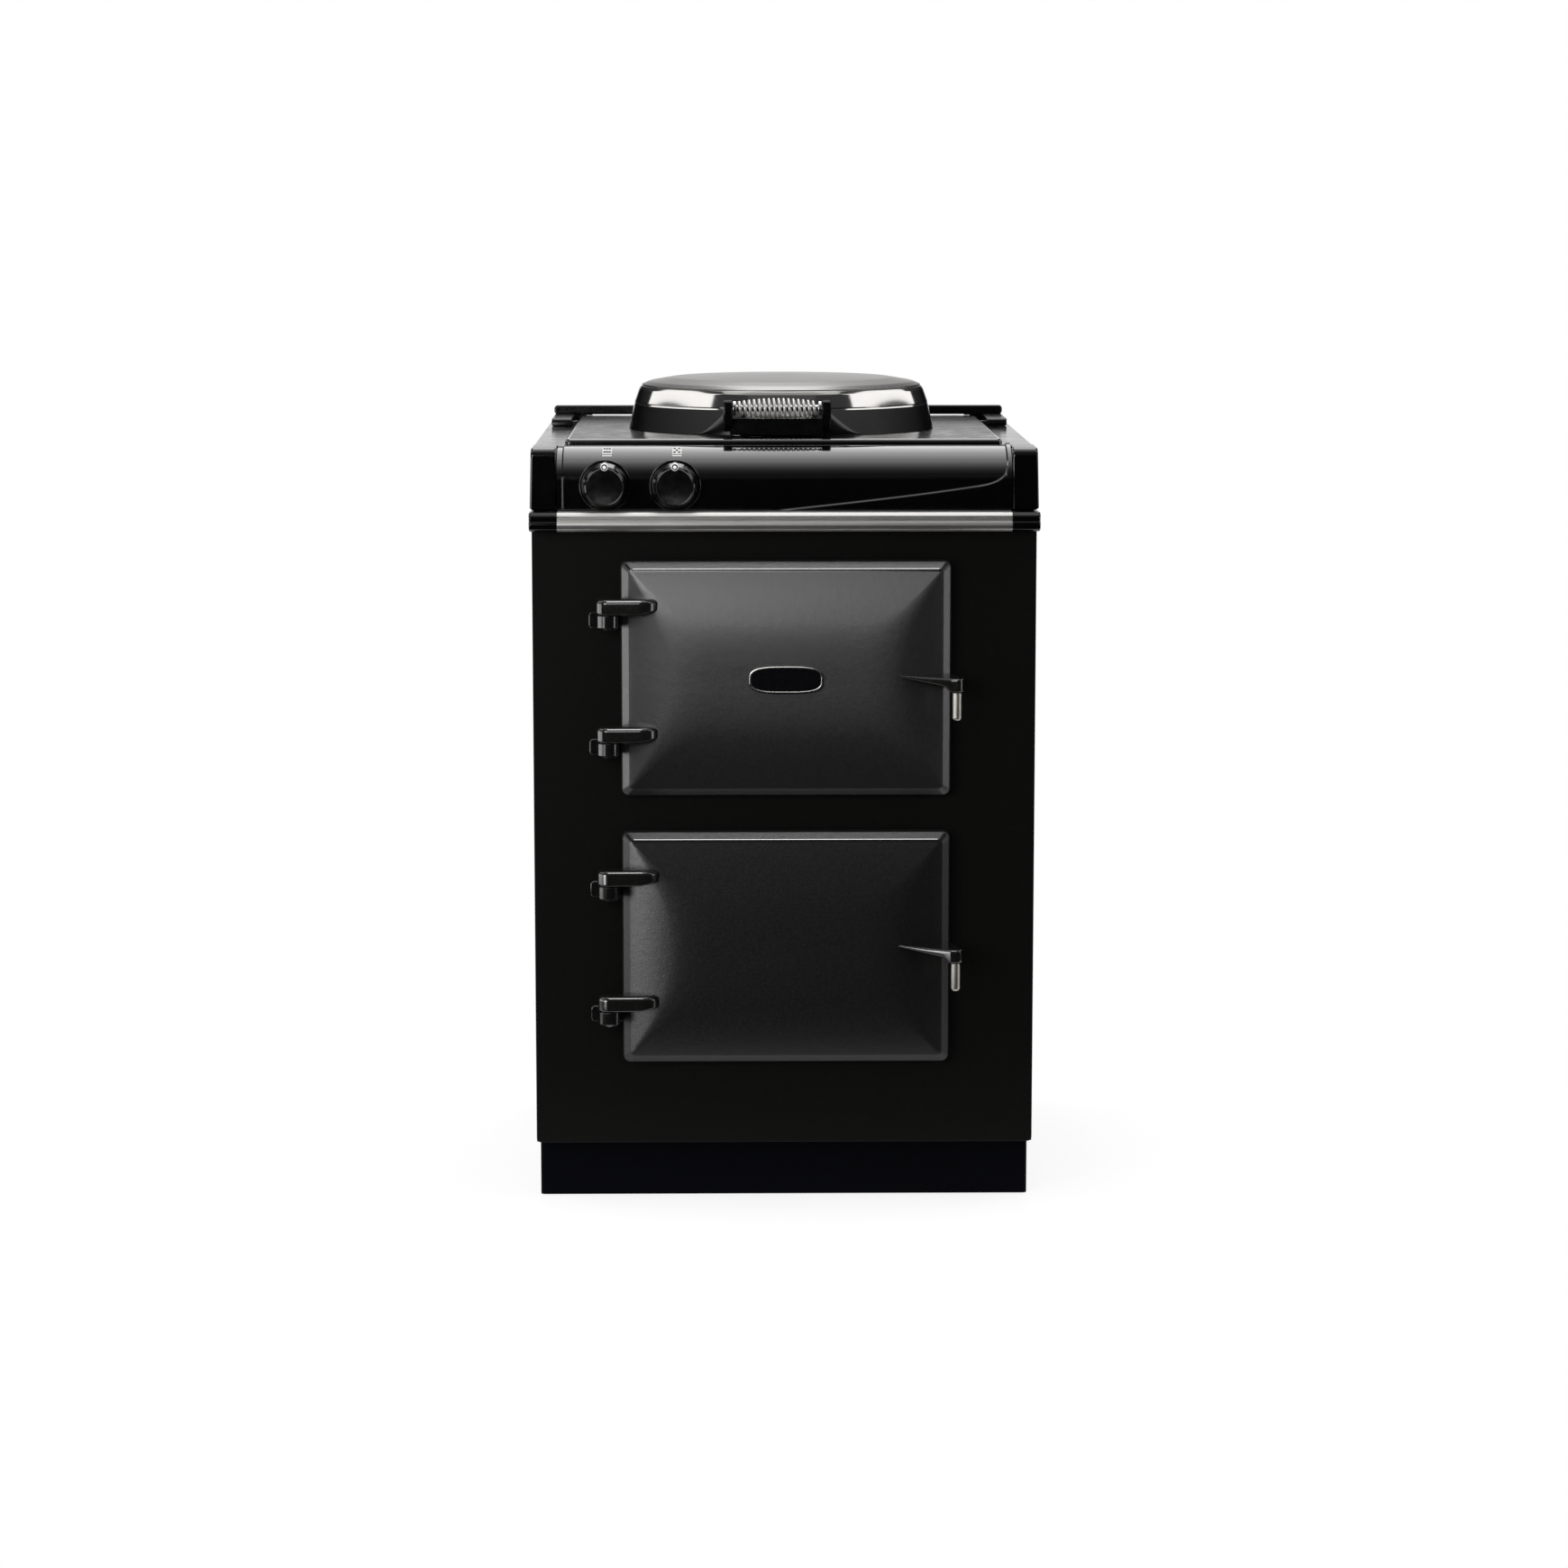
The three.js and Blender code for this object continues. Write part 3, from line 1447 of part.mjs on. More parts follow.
for (const [level, centre] of Object.entries(doorCentres)) {
  const oven = new THREE.Group();
  oven.position.set(doorOffset, 0, centre);
  layout.add(oven);
  part(oven, `${level}_oven`, makeOven(), ovenEnamel);
  part(oven, `${level}_shelf`, makeShelf(), nickel, [0, 0, shelfLevel]);
  const elementHeight = ovenSill - ovenWall - elementSlot + fit + elementRadius;
  part(oven, `${level}_element`, makeOvenElement(), zinc, [0, elementFront, elementHeight]);
  part(layout, `${level}_seal`, makeSeal(centre), rope);

  for (const [end, sign] of [["top", 1], ["bottom", -1]]) {
    const plane = (sign * hingeSpacing) / 2 + hingeLift;
    part(oven, `${level}_hinge_${end}`, makeHingeBracket(), enamel, [hingeX, -hingeForward, plane]);
  }

  const door = new THREE.Group();
  door.position.copy(oven.position);
  layout.add(door);
  part(door, `${level}_door`, makeDoorBody(), enamel);
  part(door, `${level}_door_liner`, makeDoorLiner(), ovenEnamel);
  const gripTop = armTop - armDrop - fit;
  part(door, `${level}_door_grip`, makeGrip(), nickel, [armEnd, -armForward, gripTop - gripLength]);
}

const badgeY = -doorFace - crownAt(0, 0) - fit;
part(layout, "badge_plate", makeBadge(), badgeFace, [doorOffset, badgeY, upperDoorCentre + badgeLift]);

const lid = new THREE.Group();
lid.position.set(0, lidCentreY, plateTop);
layout.add(lid);
part(lid, "lid_cover", makeLidCover(), polished);
part(lid, "lid_liner", makeLidLiner(), brushed);
part(lid, "lid_hinge_arm", makeLidHingeArm(), blackTrim);
part(lid, "lid_handle_bracket", makeHandleBracket(), blackTrim);
part(lid, "lid_handle_rod", makeHandleRod(), polished, [handleOffset, -handleForward, handleHeight]);
part(lid, "lid_handle_coil", makeCoil(), polished, [handleOffset, -handleForward, handleHeight]);

for (const [hand, x] of [["left", leftKnobX], ["right", rightKnobX]]) {
  const control = new THREE.Group();
  control.position.set(x, facePadY - fit, knobHeight);
  layout.add(control);
  part(control, `knob_${hand}`, makeKnob(), blackTrim);
  const spindle = barForward(spindleRadius, spindleLength, 16);
  part(control, `spindle_${hand}`, spindle, zinc, [0, spindleLength - knobDepth + 6 + 2 * fit, 0]);
  const seat = -fasciaFront + fasciaWall + fit;
  part(layout, `thermostat_${hand}`, makeThermostat(), zinc, [x, seat, knobHeight]);
}

export default range;
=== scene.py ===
"""Cast iron range cooker: the finished look of the part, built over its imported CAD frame.

Sizes in the classes are millimetres, +Z up, the front of the cooker towards -Y. Meshes are written
in metres with their places in their vertices.
"""

from __future__ import annotations

import json
import logging
import math
import sys
from dataclasses import dataclass, replace
from enum import Enum
from functools import cached_property
from typing import Callable, Iterable, Sequence

import bmesh
import bpy
import numpy as np
from mathutils import Matrix, Vector

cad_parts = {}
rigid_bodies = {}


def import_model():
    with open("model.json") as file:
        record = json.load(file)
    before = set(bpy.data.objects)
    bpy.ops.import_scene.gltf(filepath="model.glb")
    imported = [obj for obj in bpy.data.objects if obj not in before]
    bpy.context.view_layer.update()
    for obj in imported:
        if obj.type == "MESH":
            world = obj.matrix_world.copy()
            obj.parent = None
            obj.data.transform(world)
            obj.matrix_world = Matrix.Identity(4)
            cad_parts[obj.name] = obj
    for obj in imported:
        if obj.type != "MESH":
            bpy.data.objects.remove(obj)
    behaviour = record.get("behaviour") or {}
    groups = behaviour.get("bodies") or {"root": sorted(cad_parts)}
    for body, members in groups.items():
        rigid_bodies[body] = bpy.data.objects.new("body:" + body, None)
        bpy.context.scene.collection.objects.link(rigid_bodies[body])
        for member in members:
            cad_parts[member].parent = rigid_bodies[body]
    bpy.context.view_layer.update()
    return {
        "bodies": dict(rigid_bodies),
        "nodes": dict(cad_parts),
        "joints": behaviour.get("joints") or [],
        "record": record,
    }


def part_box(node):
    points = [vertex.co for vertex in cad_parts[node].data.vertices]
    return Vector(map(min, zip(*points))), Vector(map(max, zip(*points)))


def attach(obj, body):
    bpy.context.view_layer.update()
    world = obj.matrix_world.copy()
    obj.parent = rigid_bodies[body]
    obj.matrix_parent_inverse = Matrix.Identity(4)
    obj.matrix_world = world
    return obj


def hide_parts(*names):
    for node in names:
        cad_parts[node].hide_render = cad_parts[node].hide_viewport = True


LOG = logging.getLogger("range_cooker")

MM = 0.001
FRONT_FACE = -263.5  # y of the front panel's face
LID_AXIS_Y = 29.5  # y of the axis that the lid and the hotplate share
KNOB_X = (-211.6, -129.0)
KNOB_Z = 867.0
DECAL_LIFT = 0.06  # how far printed marks stand off what they are printed on
SEAM = 1e-6  # points closer than this, in metres, are one
FLAT_TURN = 0.5  # CAD faces that turn less than this many degrees are one
EDGE_SHARE = 0.48  # a rounding takes at most this part of each edge beside it
CORNER_LIMIT = 0.8  # keeps a sharp corner from moving too far when an outline is inset
BEVEL_STEPS = 3

Flat = tuple[float, float]
Point = tuple[float, float, float]
Loop = list[Point]
Mesh = bmesh.types.BMesh
Object = bpy.types.Object
Socket = bpy.types.NodeSocket


# ---- shapes


def fillet(points: Sequence[Flat], radii: Sequence[float], steps: int = 6) -> list[Flat]:
    """Rounds the inner corners of an open line of points.

    Args:
        points: the line's corners.
        radii: one radius for each corner; 0 keeps it sharp.
        steps: how many short edges each rounding has.

    Returns:
        The rounded line.
    """
    line = [points[0]]
    for before, corner, after, radius in zip(points, points[1:], points[2:], radii[1:-1]):
        a, b, c = Vector(before), Vector(corner), Vector(after)
        back, ahead = (a - b), (c - b)
        if radius <= 0 or back.length == 0 or ahead.length == 0:
            line.append(corner)
            continue
        half_angle = max(back.angle(ahead) / 2, 1e-3)
        limit = EDGE_SHARE * min(back.length, ahead.length)
        reach = min(radius / math.tan(half_angle), limit)
        start, end = b + back.normalized() * reach, b + ahead.normalized() * reach
        for i in range(steps + 1):
            t = i / steps
            line.append(tuple(start * (1 - t) ** 2 + b * (2 * t * (1 - t)) + end * t**2))
    line.append(points[-1])
    return line


def bend(start: Flat, control: Flat, end: Flat, count: int) -> list[Flat]:
    """Points along a quadratic curve, both ends among them.

    Args:
        start: where it starts.
        control: the point that it bends towards.
        end: where it ends.
        count: how many points.

    Returns:
        The points.
    """
    return [
        tuple(
            a * (1 - t) ** 2 + 2 * b * t * (1 - t) + c * t * t
            for a, b, c in zip(start, control, end)
        )
        for t in np.linspace(0, 1, count)
    ]


def circle(centre: Flat, radius: float, count: int) -> list[Flat]:
    """Points round a circle, anticlockwise."""
    turns = np.linspace(0, math.tau, count, endpoint=False)
    return [(centre[0] + radius * math.cos(t), centre[1] + radius * math.sin(t)) for t in turns]


def rounded_rectangle(x: Flat, y: Flat, radius: float, steps: int = 8) -> list[Flat]:
    """Points round a rectangle with rounded corners, anticlockwise.

    Args:
        x: its range across.
        y: its range upwards.
        radius: of its corners.
        steps: short edges in each corner.

    Returns:
        The closed loop of points.
    """
    centres = [
        (x[1] - radius, y[0] + radius, -math.pi / 2),
        (x[1] - radius, y[1] - radius, 0.0),
        (x[0] + radius, y[1] - radius, math.pi / 2),
        (x[0] + radius, y[0] + radius, math.pi),
    ]
    return [
        (cx + radius * math.cos(start + angle), cy + radius * math.sin(start + angle))
        for cx, cy, start in centres
        for angle in np.linspace(0, math.pi / 2, steps + 1)
    ]


def inset(outline: Sequence[Flat], distance: float) -> list[Flat]:
    """Moves a closed anticlockwise outline inwards along its corners' bisectors.

    Args:
        outline: the loop of points.
        distance: how far each edge moves.

    Returns:
        The smaller loop, point for point.
    """
    points = np.array(outline, float)
    ahead = np.roll(points, -1, axis=0) - points
    ahead /= np.maximum(np.linalg.norm(ahead, axis=1, keepdims=True), 1e-9)
    normal = np.stack([-ahead[:, 1], ahead[:, 0]], axis=1)
    both = normal + np.roll(normal, 1, axis=0)
    scale = 2 / np.maximum((both**2).sum(axis=1, keepdims=True), CORNER_LIMIT)
    return [tuple(p) for p in points + both * scale * distance]


def limited(value: float, low: float = 0.0, high: float = 1.0) -> float:
    """The value, or the limit that it passes."""
    return min(max(value, low), high)


def eased(share: float) -> float:
    """A share from 0 to 1 that starts and ends gently."""
    share = limited(share)
    return share * share * (3 - 2 * share)


def skin(loops: Sequence[Loop], closed: bool = True, caps: bool = True) -> Mesh:
    """Joins loops of equal length by quads.

    Args:
        loops: the loops in order, in millimetres.
        closed: whether each loop closes on itself.
        caps: whether the first and last loops are filled.

    Returns:
        A mesh in metres.
    """
    mesh = bmesh.new()
    rows = [[mesh.verts.new([c * MM for c in point]) for point in loop] for loop in loops]
    count = len(rows[0])
    for near, far in zip(rows, rows[1:]):
        for k in range(count if closed else count - 1):
            n = (k + 1) % count
            mesh.faces.new((near[k], near[n], far[n], far[k]))
    if caps:
        mesh.faces.new(rows[0][::-1])
        mesh.faces.new(rows[-1])
    return mesh


class Axis(Enum):
    """The way a prism or turned form points, with what an outline's two numbers stand for."""

    ALONG_X = "yz"
    ALONG_Y = "xz"
    ALONG_Z = "xy"

    def place(self, flat: Flat, depth: float) -> Point:
        """Puts an outline's point at a depth along the axis."""
        numbers = {self.value[0]: flat[0], self.value[1]: flat[1]}
        return tuple(numbers.get(letter, depth) for letter in "xyz")


def prism(
    outline: Sequence[Flat], span: Flat, axis: Axis, edge: float | Flat = 0.0, steps: int = 4
) -> Mesh:
    """A prism whose two ends have rounded edges.

    Args:
        outline: its closed cross-section, anticlockwise.
        span: where it starts and ends along the axis.
        axis: the axis it is drawn out along.
        edge: the radius of its end edges, or one radius for each end.
        steps: short edges in each rounding.

    Returns:
        A closed mesh in metres.
    """
    near, far = edge if isinstance(edge, tuple) else (edge, edge)
    loops: list[Loop] = []
    for start, way, radius in ((span[0], 1, near), (span[1], -1, far)):
        angles = np.linspace(0, math.pi / 2, steps + 1) if radius > 0 else [math.pi / 2]
        some = [
            [
                axis.place(p, start + way * radius * (1 - math.sin(angle)))
                for p in inset(outline, radius * (1 - math.cos(angle)))
            ]
            for angle in angles[::-1]
        ]
        loops += some if way > 0 else some[::-1]
    return outward(skin(loops))


def outward(mesh: Mesh) -> Mesh:
    """Merges a mesh's doubles and turns its faces outwards."""
    bmesh.ops.remove_doubles(mesh, verts=mesh.verts[:], dist=SEAM)
    bmesh.ops.recalc_face_normals(mesh, faces=mesh.faces[:])
    return mesh


def joined(*parts: Mesh) -> Mesh:
    """Puts several meshes into the first one.

    Args:
        parts: the meshes, of which all but the first are used up.

    Returns:
        The first mesh.
    """
    for extra in parts[1:]:
        spare = bpy.data.meshes.new("spare")
        extra.to_mesh(spare)
        extra.free()
        parts[0].from_mesh(spare)
        bpy.data.meshes.remove(spare)
    return parts[0]


def painted(mesh: Mesh, index: int, chosen: Callable[[Vector], bool] = lambda _: True) -> Mesh:
    """Gives faces of a mesh a material index.

    Args:
        mesh: the mesh.
        index: the index.
        chosen: says of a face's middle, in millimetres, whether the face gets it.

    Returns:
        The mesh.
    """
    for face in mesh.faces:
        if chosen(face.calc_center_median() / MM):
            face.material_index = index
    return mesh


def stored(mesh: Mesh, data: bpy.types.Mesh) -> None:
    """Writes a mesh out, smooth all over, and frees it.

    Args:
        mesh: the mesh, which is used up.
        data: where it goes.
    """
    for face in mesh.faces:
        face.smooth = True
    mesh.to_mesh(data)
    mesh.free()


def piece(name: str, mesh: Mesh, finishes: Sequence[str], sharp: float = 35.0) -> Object:
    """Makes an object of a mesh, smooth but for its sharp edges.

    Args:
        name: the piece's name.
        mesh: its shape, which is used up.
        finishes: the names of its finishes in the order of its faces' indices.
        sharp: edges that turn more than this many degrees stay sharp.

    Returns:
        The new object, at the origin.
    """
    data = bpy.data.meshes.new(name)
    stored(mesh, data)
    for finish in finishes:
        data.materials.append(FINISHES[finish])
    made = bpy.data.objects.new(name, data)
    bpy.context.scene.collection.objects.link(made)
    return flattened(made, sharp) if data.polygons else made


def flattened(made: Object, sharp: float) -> Object:
    """Keeps a mesh's sharp edges sharp and its large faces flat in their shading.

    Args:
        made: the object.
        sharp: edges that turn more than this many degrees stay sharp.

    Returns:
        The object.
    """
    made.data.set_sharp_from_angle(angle=math.radians(sharp))
    weigh = made.modifiers.new("flat faces", "WEIGHTED_NORMAL")
    weigh.keep_sharp = True
    return bake(made)


def bake(made: Object) -> Object:
    """Turns an object with modifiers into a plain mesh.

    Args:
        made: the object.

    Returns:
        The object.
    """
    bpy.context.view_layer.update()
    shaped = made.evaluated_get(bpy.context.evaluated_depsgraph_get())
    data = bpy.data.meshes.new_from_object(shaped)
    made.modifiers.clear()
    made.data = data
    return made


def extended(made: Object, sharp: float, *parts: Mesh) -> Object:
    """Adds meshes to an object.

    Args:
        made: the object.
        sharp: edges that turn more than this many degrees stay sharp.
        parts: the meshes, which are used up.

    Returns:
        The object.
    """
    mesh = bmesh.new()
    mesh.from_mesh(made.data)
    stored(joined(mesh, *parts), made.data)
    return flattened(made, sharp)


def softened(node: str, finish: str, edge: float, sharp: float) -> Object:
    """A CAD node's own shape with smooth curves and rounded edges, in place of the node.

    Args:
        node: the node it stands for.
        finish: the name of its finish.
        edge: the radius of its edges.
        sharp: edges that turn more than this many degrees are the ones rounded.

    Returns:
        The new object.
    """
    mesh = bmesh.new()
    mesh.from_mesh(FRAME["nodes"][node].data)
    bmesh.ops.remove_doubles(mesh, verts=mesh.verts[:], dist=2 * SEAM)
    flat = math.radians(FLAT_TURN)
    bmesh.ops.dissolve_limit(mesh, angle_limit=flat, verts=mesh.verts[:], edges=mesh.edges[:])
    made = piece(f"{node}_finished", mesh, [finish], sharp)
    if edge > 0:
        bevel = made.modifiers.new("rounded edges", "BEVEL")
        bevel.width = edge * MM
        bevel.segments = BEVEL_STEPS
        bevel.limit_method = "ANGLE"
        bevel.angle_limit = math.radians(sharp)
        bevel.miter_outer = "MITER_ARC"
        bevel.use_clamp_overlap = True
        flattened(bake(made), sharp)
    return made


def dress(made: Object, body: str, nodes: Iterable[str] = ()) -> None:
    """Puts a finished piece on its body in place of the CAD nodes it stands for, and reports it.

    Args:
        made: the piece.
        body: the CAD body it rides on.
        nodes: the CAD nodes it stands for.
    """
    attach(made, body)
    if nodes:
        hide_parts(*nodes)
    LOG.info("%s: %d faces on %s", made.name, len(made.data.polygons), body)


def dress_node(
    node: str, finish: str, edge: float = 0.0, sharp: float = 50.0, body: str = "cooker"
) -> None:
    """Puts a softened and finished copy in a CAD node's place.

    Args:
        node: the node's name.
        finish: the name of its finish.
        edge: the radius of its edges.
        sharp: edges that turn more than this many degrees are the ones rounded.
        body: the CAD body it rides on.
    """
    dress(softened(node, finish, edge, sharp), body, [node])


def refinish(node: str, finish: str) -> None:
    """Gives a CAD node that stays as it is a better material.

    Args:
        node: the node's name.
        finish: the finish's name.
    """
    for holder in FRAME["nodes"][node].material_slots:
        holder.material = FINISHES[finish]
    LOG.info("%s: finished in %s", node, finish)


def extent(node: str) -> tuple[Flat, Flat, Flat]:
    """A CAD node's ranges along X, Y and Z, in millimetres."""
    low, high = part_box(node)
    return tuple((a / MM, b / MM) for a, b in zip(low, high))


# ---- node trees


def linear(code: str) -> tuple[float, float, float, float]:
    """Turns a written sRGB colour such as "1a2b3c" into the linear one that a shader takes."""
    parts = [int(code[i : i + 2], 16) / 255 for i in (0, 2, 4)]
    red, green, blue = (p / 12.92 if p <= 0.04045 else ((p + 0.055) / 1.055) ** 2.4 for p in parts)
    return (red, green, blue, 1.0)


class Nodes:
    """A node tree that grows by one node a call."""

    def __init__(self, owner: bpy.types.Material | bpy.types.World) -> None:
        """Starts an empty tree in a material or a world."""
        owner.use_nodes = True
        self.tree = owner.node_tree
        self.tree.nodes.clear()

    def add(self, kind: str, inputs: dict | None = None, **settings) -> bpy.types.NodeOutputs:
        """Adds one node.

        Args:
            kind: the node's type name.
            inputs: values or sockets for its inputs, by name or number.
            settings: its own properties.

        Returns:
            Its outputs.
        """
        made = self.tree.nodes.new(kind)
        for name, value in settings.items():
            setattr(made, name, value)
        for key, value in (inputs or {}).items():
            socket = made.inputs[key]
            if isinstance(value, bpy.types.NodeSocket):
                self.tree.links.new(value, socket)
            else:
                socket.default_value = value
        return made.outputs

    def shade(self, kind: str, inputs: dict | None = None, **settings) -> Socket:
        """Adds a node of the shader family; the answer is its first output."""
        return self.add(f"ShaderNode{kind}", inputs, **settings)[0]

    def calc(self, operation: str, *values: float | Socket) -> Socket:
        """One step of arithmetic on numbers or sockets."""
        return self.shade("Math", dict(enumerate(values)), operation=operation)

    def combine(self, x: Socket, y: float | Socket = 0.0, z: float | Socket = 0.0) -> Socket:
        """A vector of three numbers."""
        return self.shade("CombineXYZ", {0: x, 1: y, 2: z})

    def length(self, vector: Socket) -> Socket:
        """How long a vector is."""
        return self.add("ShaderNodeVectorMath", {0: vector}, operation="LENGTH")[1]

    def from_axis(self, where: Socket, centre_y: float) -> Socket:
        """The distance from an upright axis at x = 0.

        Args:
            where: the place, in metres.
            centre_y: the axis's y, in millimetres.

        Returns:
            The distance in metres.
        """
        shift, flat = (0.0, -centre_y * MM, 0.0), (1.0, 1.0, 0.0)
        return self.length(self.shade("Mapping", {0: where, 1: shift, 3: flat}))

    def ramp(
        self,
        value: Socket,
        low: float = 0.0,
        high: float = 1.0,
        start: float = 0.0,
        end: float = 1.0,
    ) -> Socket:
        """A number that goes from start to end as the value goes from low to high."""
        return self.shade("MapRange", {0: value, 1: low, 2: high, 3: start, 4: end})

    def mix(self, share: float | Socket, first: str | Socket, second: str | Socket) -> Socket:
        """Mixes two colours.

        Args:
            share: how much of the second there is, 0 to 1.
            first: a colour, written or from a socket.
            second: the other one.

        Returns:
            The mixed colour.
        """
        both = [linear(c) if isinstance(c, str) else c for c in (first, second)]
        inputs = {0: share, 6: both[0], 7: both[1]}
        return self.add("ShaderNodeMix", inputs, data_type="RGBA")[2]

    def noise(self, where: Socket, scale: float, detail: float = 2.0, rough: float = 0.5) -> Socket:
        """Cloudy noise from 0 to 1."""
        inputs = {"Vector": where, "Scale": scale, "Detail": detail, "Roughness": rough}
        return self.shade("TexNoise", inputs)

    def seen(self, glossy: Socket | None = None) -> Socket:
        """A switch for what the camera sees.

        Args:
            glossy: 1 where a reflection counts as seen too, all of it where none is given.

        Returns:
            1 for what is seen straight, through glass or in such a reflection.
        """
        path = self.add("ShaderNodeLightPath")
        clear = self.calc("MAXIMUM", path["Is Camera Ray"], path["Is Transmission Ray"])
        glossy = 1.0 if glossy is None else glossy
        return self.calc("MAXIMUM", clear, self.calc("MULTIPLY", path["Is Glossy Ray"], glossy))


class Recipe(Nodes):
    """A Geometry Nodes tree with named sizes, made once and used on many pieces."""

    def __init__(self, name: str, **sizes: str) -> None:
        """Starts the tree.

        Args:
            name: the tree's name.
            sizes: its named inputs, each with the kind of value it takes.
        """
        self.tree = bpy.data.node_groups.new(name, "GeometryNodeTree")
        face = self.tree.interface
        face.new_socket("Geometry", in_out="INPUT", socket_type="NodeSocketGeometry")
        self.ids = {}
        for label, kind in {**sizes, "finish": "Material"}.items():
            socket = face.new_socket(label, in_out="INPUT", socket_type=f"NodeSocket{kind}")
            self.ids[label] = socket.identifier
        face.new_socket("Geometry", in_out="OUTPUT", socket_type="NodeSocketGeometry")
        self.given = self.add("NodeGroupInput")

    def geo(self, kind: str, inputs: dict | None = None, **settings) -> Socket:
        """Adds a node of the geometry family; the answer is its first output."""
        return self.add(f"GeometryNode{kind}", inputs, **settings)[0]

    def end(self, geometry: Socket) -> Recipe:
        """Finishes the tree: instances made real, and the finish laid on.

        Args:
            geometry: what the tree has made.

        Returns:
            The recipe.
        """
        real = self.geo("RealizeInstances", {0: geometry})
        laid = self.geo("SetMaterial", {"Geometry": real, "Material": self.given["finish"]})
        self.add("NodeGroupOutput", {0: laid})
        return self

    def make(
        self, name: str, start: Mesh | None, finish: str, sharp: float = 35.0, **sizes
    ) -> Object:
        """Runs the tree on a mesh and keeps the result as a plain mesh.

        Args:
            name: the piece's name.
            start: the mesh the tree starts from, if it needs one.
            finish: the name of its finish.
            sharp: edges that turn more than this many degrees stay sharp.
            sizes: the tree's sizes, in metres.

        Returns:
            The piece, faces outwards.
        """
        made = piece(name, start or bmesh.new(), [])
        modifier = made.modifiers.new(self.tree.name, "NODES")
        modifier.node_group = self.tree
        for label, value in {**sizes, "finish": FINISHES[finish]}.items():
            modifier[self.ids[label]] = value
        bake(made)
        mesh = bmesh.new()
        mesh.from_mesh(made.data)
        stored(outward(mesh), made.data)
        made.data.set_sharp_from_angle(angle=math.radians(sharp))
        return made


def turning_recipe() -> Recipe:
    """A form turned from a profile: the start mesh's points are (radius, height) in order.

    Returns:
        The recipe, with its segments round the axis.
    """
    recipe = Recipe("Turned form", segments="Int")
    calc, start, segments = recipe.calc, recipe.given["Geometry"], recipe.given["segments"]
    count = recipe.geo("AttributeDomainSize", {0: start}, component="MESH")
    grid = recipe.geo("MeshGrid", {"Vertices X": calc("ADD", segments, 1), "Vertices Y": count})
    index = recipe.geo("InputIndex")
    row = calc("FLOORED_MODULO", index, count)
    column = calc("FLOOR", calc("DIVIDE", calc("ADD", index, 0.5), count))
    inputs = {"Geometry": start, 1: recipe.geo("InputPosition"), "Index": row}
    sample = recipe.geo("SampleIndex", inputs, data_type="FLOAT_VECTOR")
    profile = recipe.add("ShaderNodeSeparateXYZ", {0: sample})
    angle = calc("MULTIPLY", calc("DIVIDE", column, segments), math.tau)
    x = calc("MULTIPLY", profile[0], calc("COSINE", angle))
    y = calc("MULTIPLY", profile[0], calc("SINE", angle))
    point = recipe.combine(x, y, profile[1])
    moved = recipe.geo("SetPosition", {"Geometry": grid, "Position": point})
    return recipe.end(recipe.geo("MergeByDistance", {"Geometry": moved, "Distance": SEAM}))


def tube(recipe: Recipe, path: Socket, sides: int, radius: Socket, caps: bool) -> Recipe:
    """Ends a recipe with a round wire along a path.

    Args:
        recipe: the recipe.
        path: the curve.
        sides: how many faces the wire has round it.
        radius: the wire's.
        caps: whether its ends are filled.

    Returns:
        The recipe.
    """
    wire = recipe.geo("CurvePrimitiveCircle", {"Resolution": sides, "Radius": radius})
    inputs = {"Curve": path, "Profile Curve": wire, "Fill Caps": caps}
    return recipe.end(recipe.geo("CurveToMesh", inputs))


def coil_recipe() -> Recipe:
    """A barrel-shaped coil of wire that follows a straight rod along X.

    Returns:
        The recipe, with the coil's sizes and the rod's middle.
    """
    floats = {name: "Float" for name in ("turns", "reach", "end_radius", "middle_radius", "wire")}
    recipe = Recipe("Wound coil", **floats, middle="Vector", steps="Int")
    calc, given = recipe.calc, recipe.given
    line = recipe.geo("CurvePrimitiveLine", {"End": (1.0, 0.0, 0.0)})
    fine = recipe.geo("ResampleCurve", {"Curve": line, "Count": given["steps"]})
    along = recipe.add("GeometryNodeSplineParameter")["Factor"]
    bulge = calc("POWER", calc("SINE", calc("MULTIPLY", along, math.pi)), 0.75)
    spread = calc("SUBTRACT", given["middle_radius"], given["end_radius"])
    radius = calc("MULTIPLY_ADD", bulge, spread, given["end_radius"])
    angle = calc("MULTIPLY", calc("MULTIPLY", along, given["turns"]), math.tau)
    x = calc("MULTIPLY", calc("MULTIPLY_ADD", along, 2.0, -1.0), given["reach"])
    y = calc("MULTIPLY", radius, calc("COSINE", angle))
    z = calc("MULTIPLY", radius, calc("SINE", angle))
    inputs = {0: recipe.combine(x, y, z), 1: given["middle"]}
    place = recipe.shade("VectorMath", inputs, operation="ADD")
    wound = recipe.geo("SetPosition", {"Geometry": fine, "Position": place})
    return tube(recipe, wound, 12, given["wire"], True)


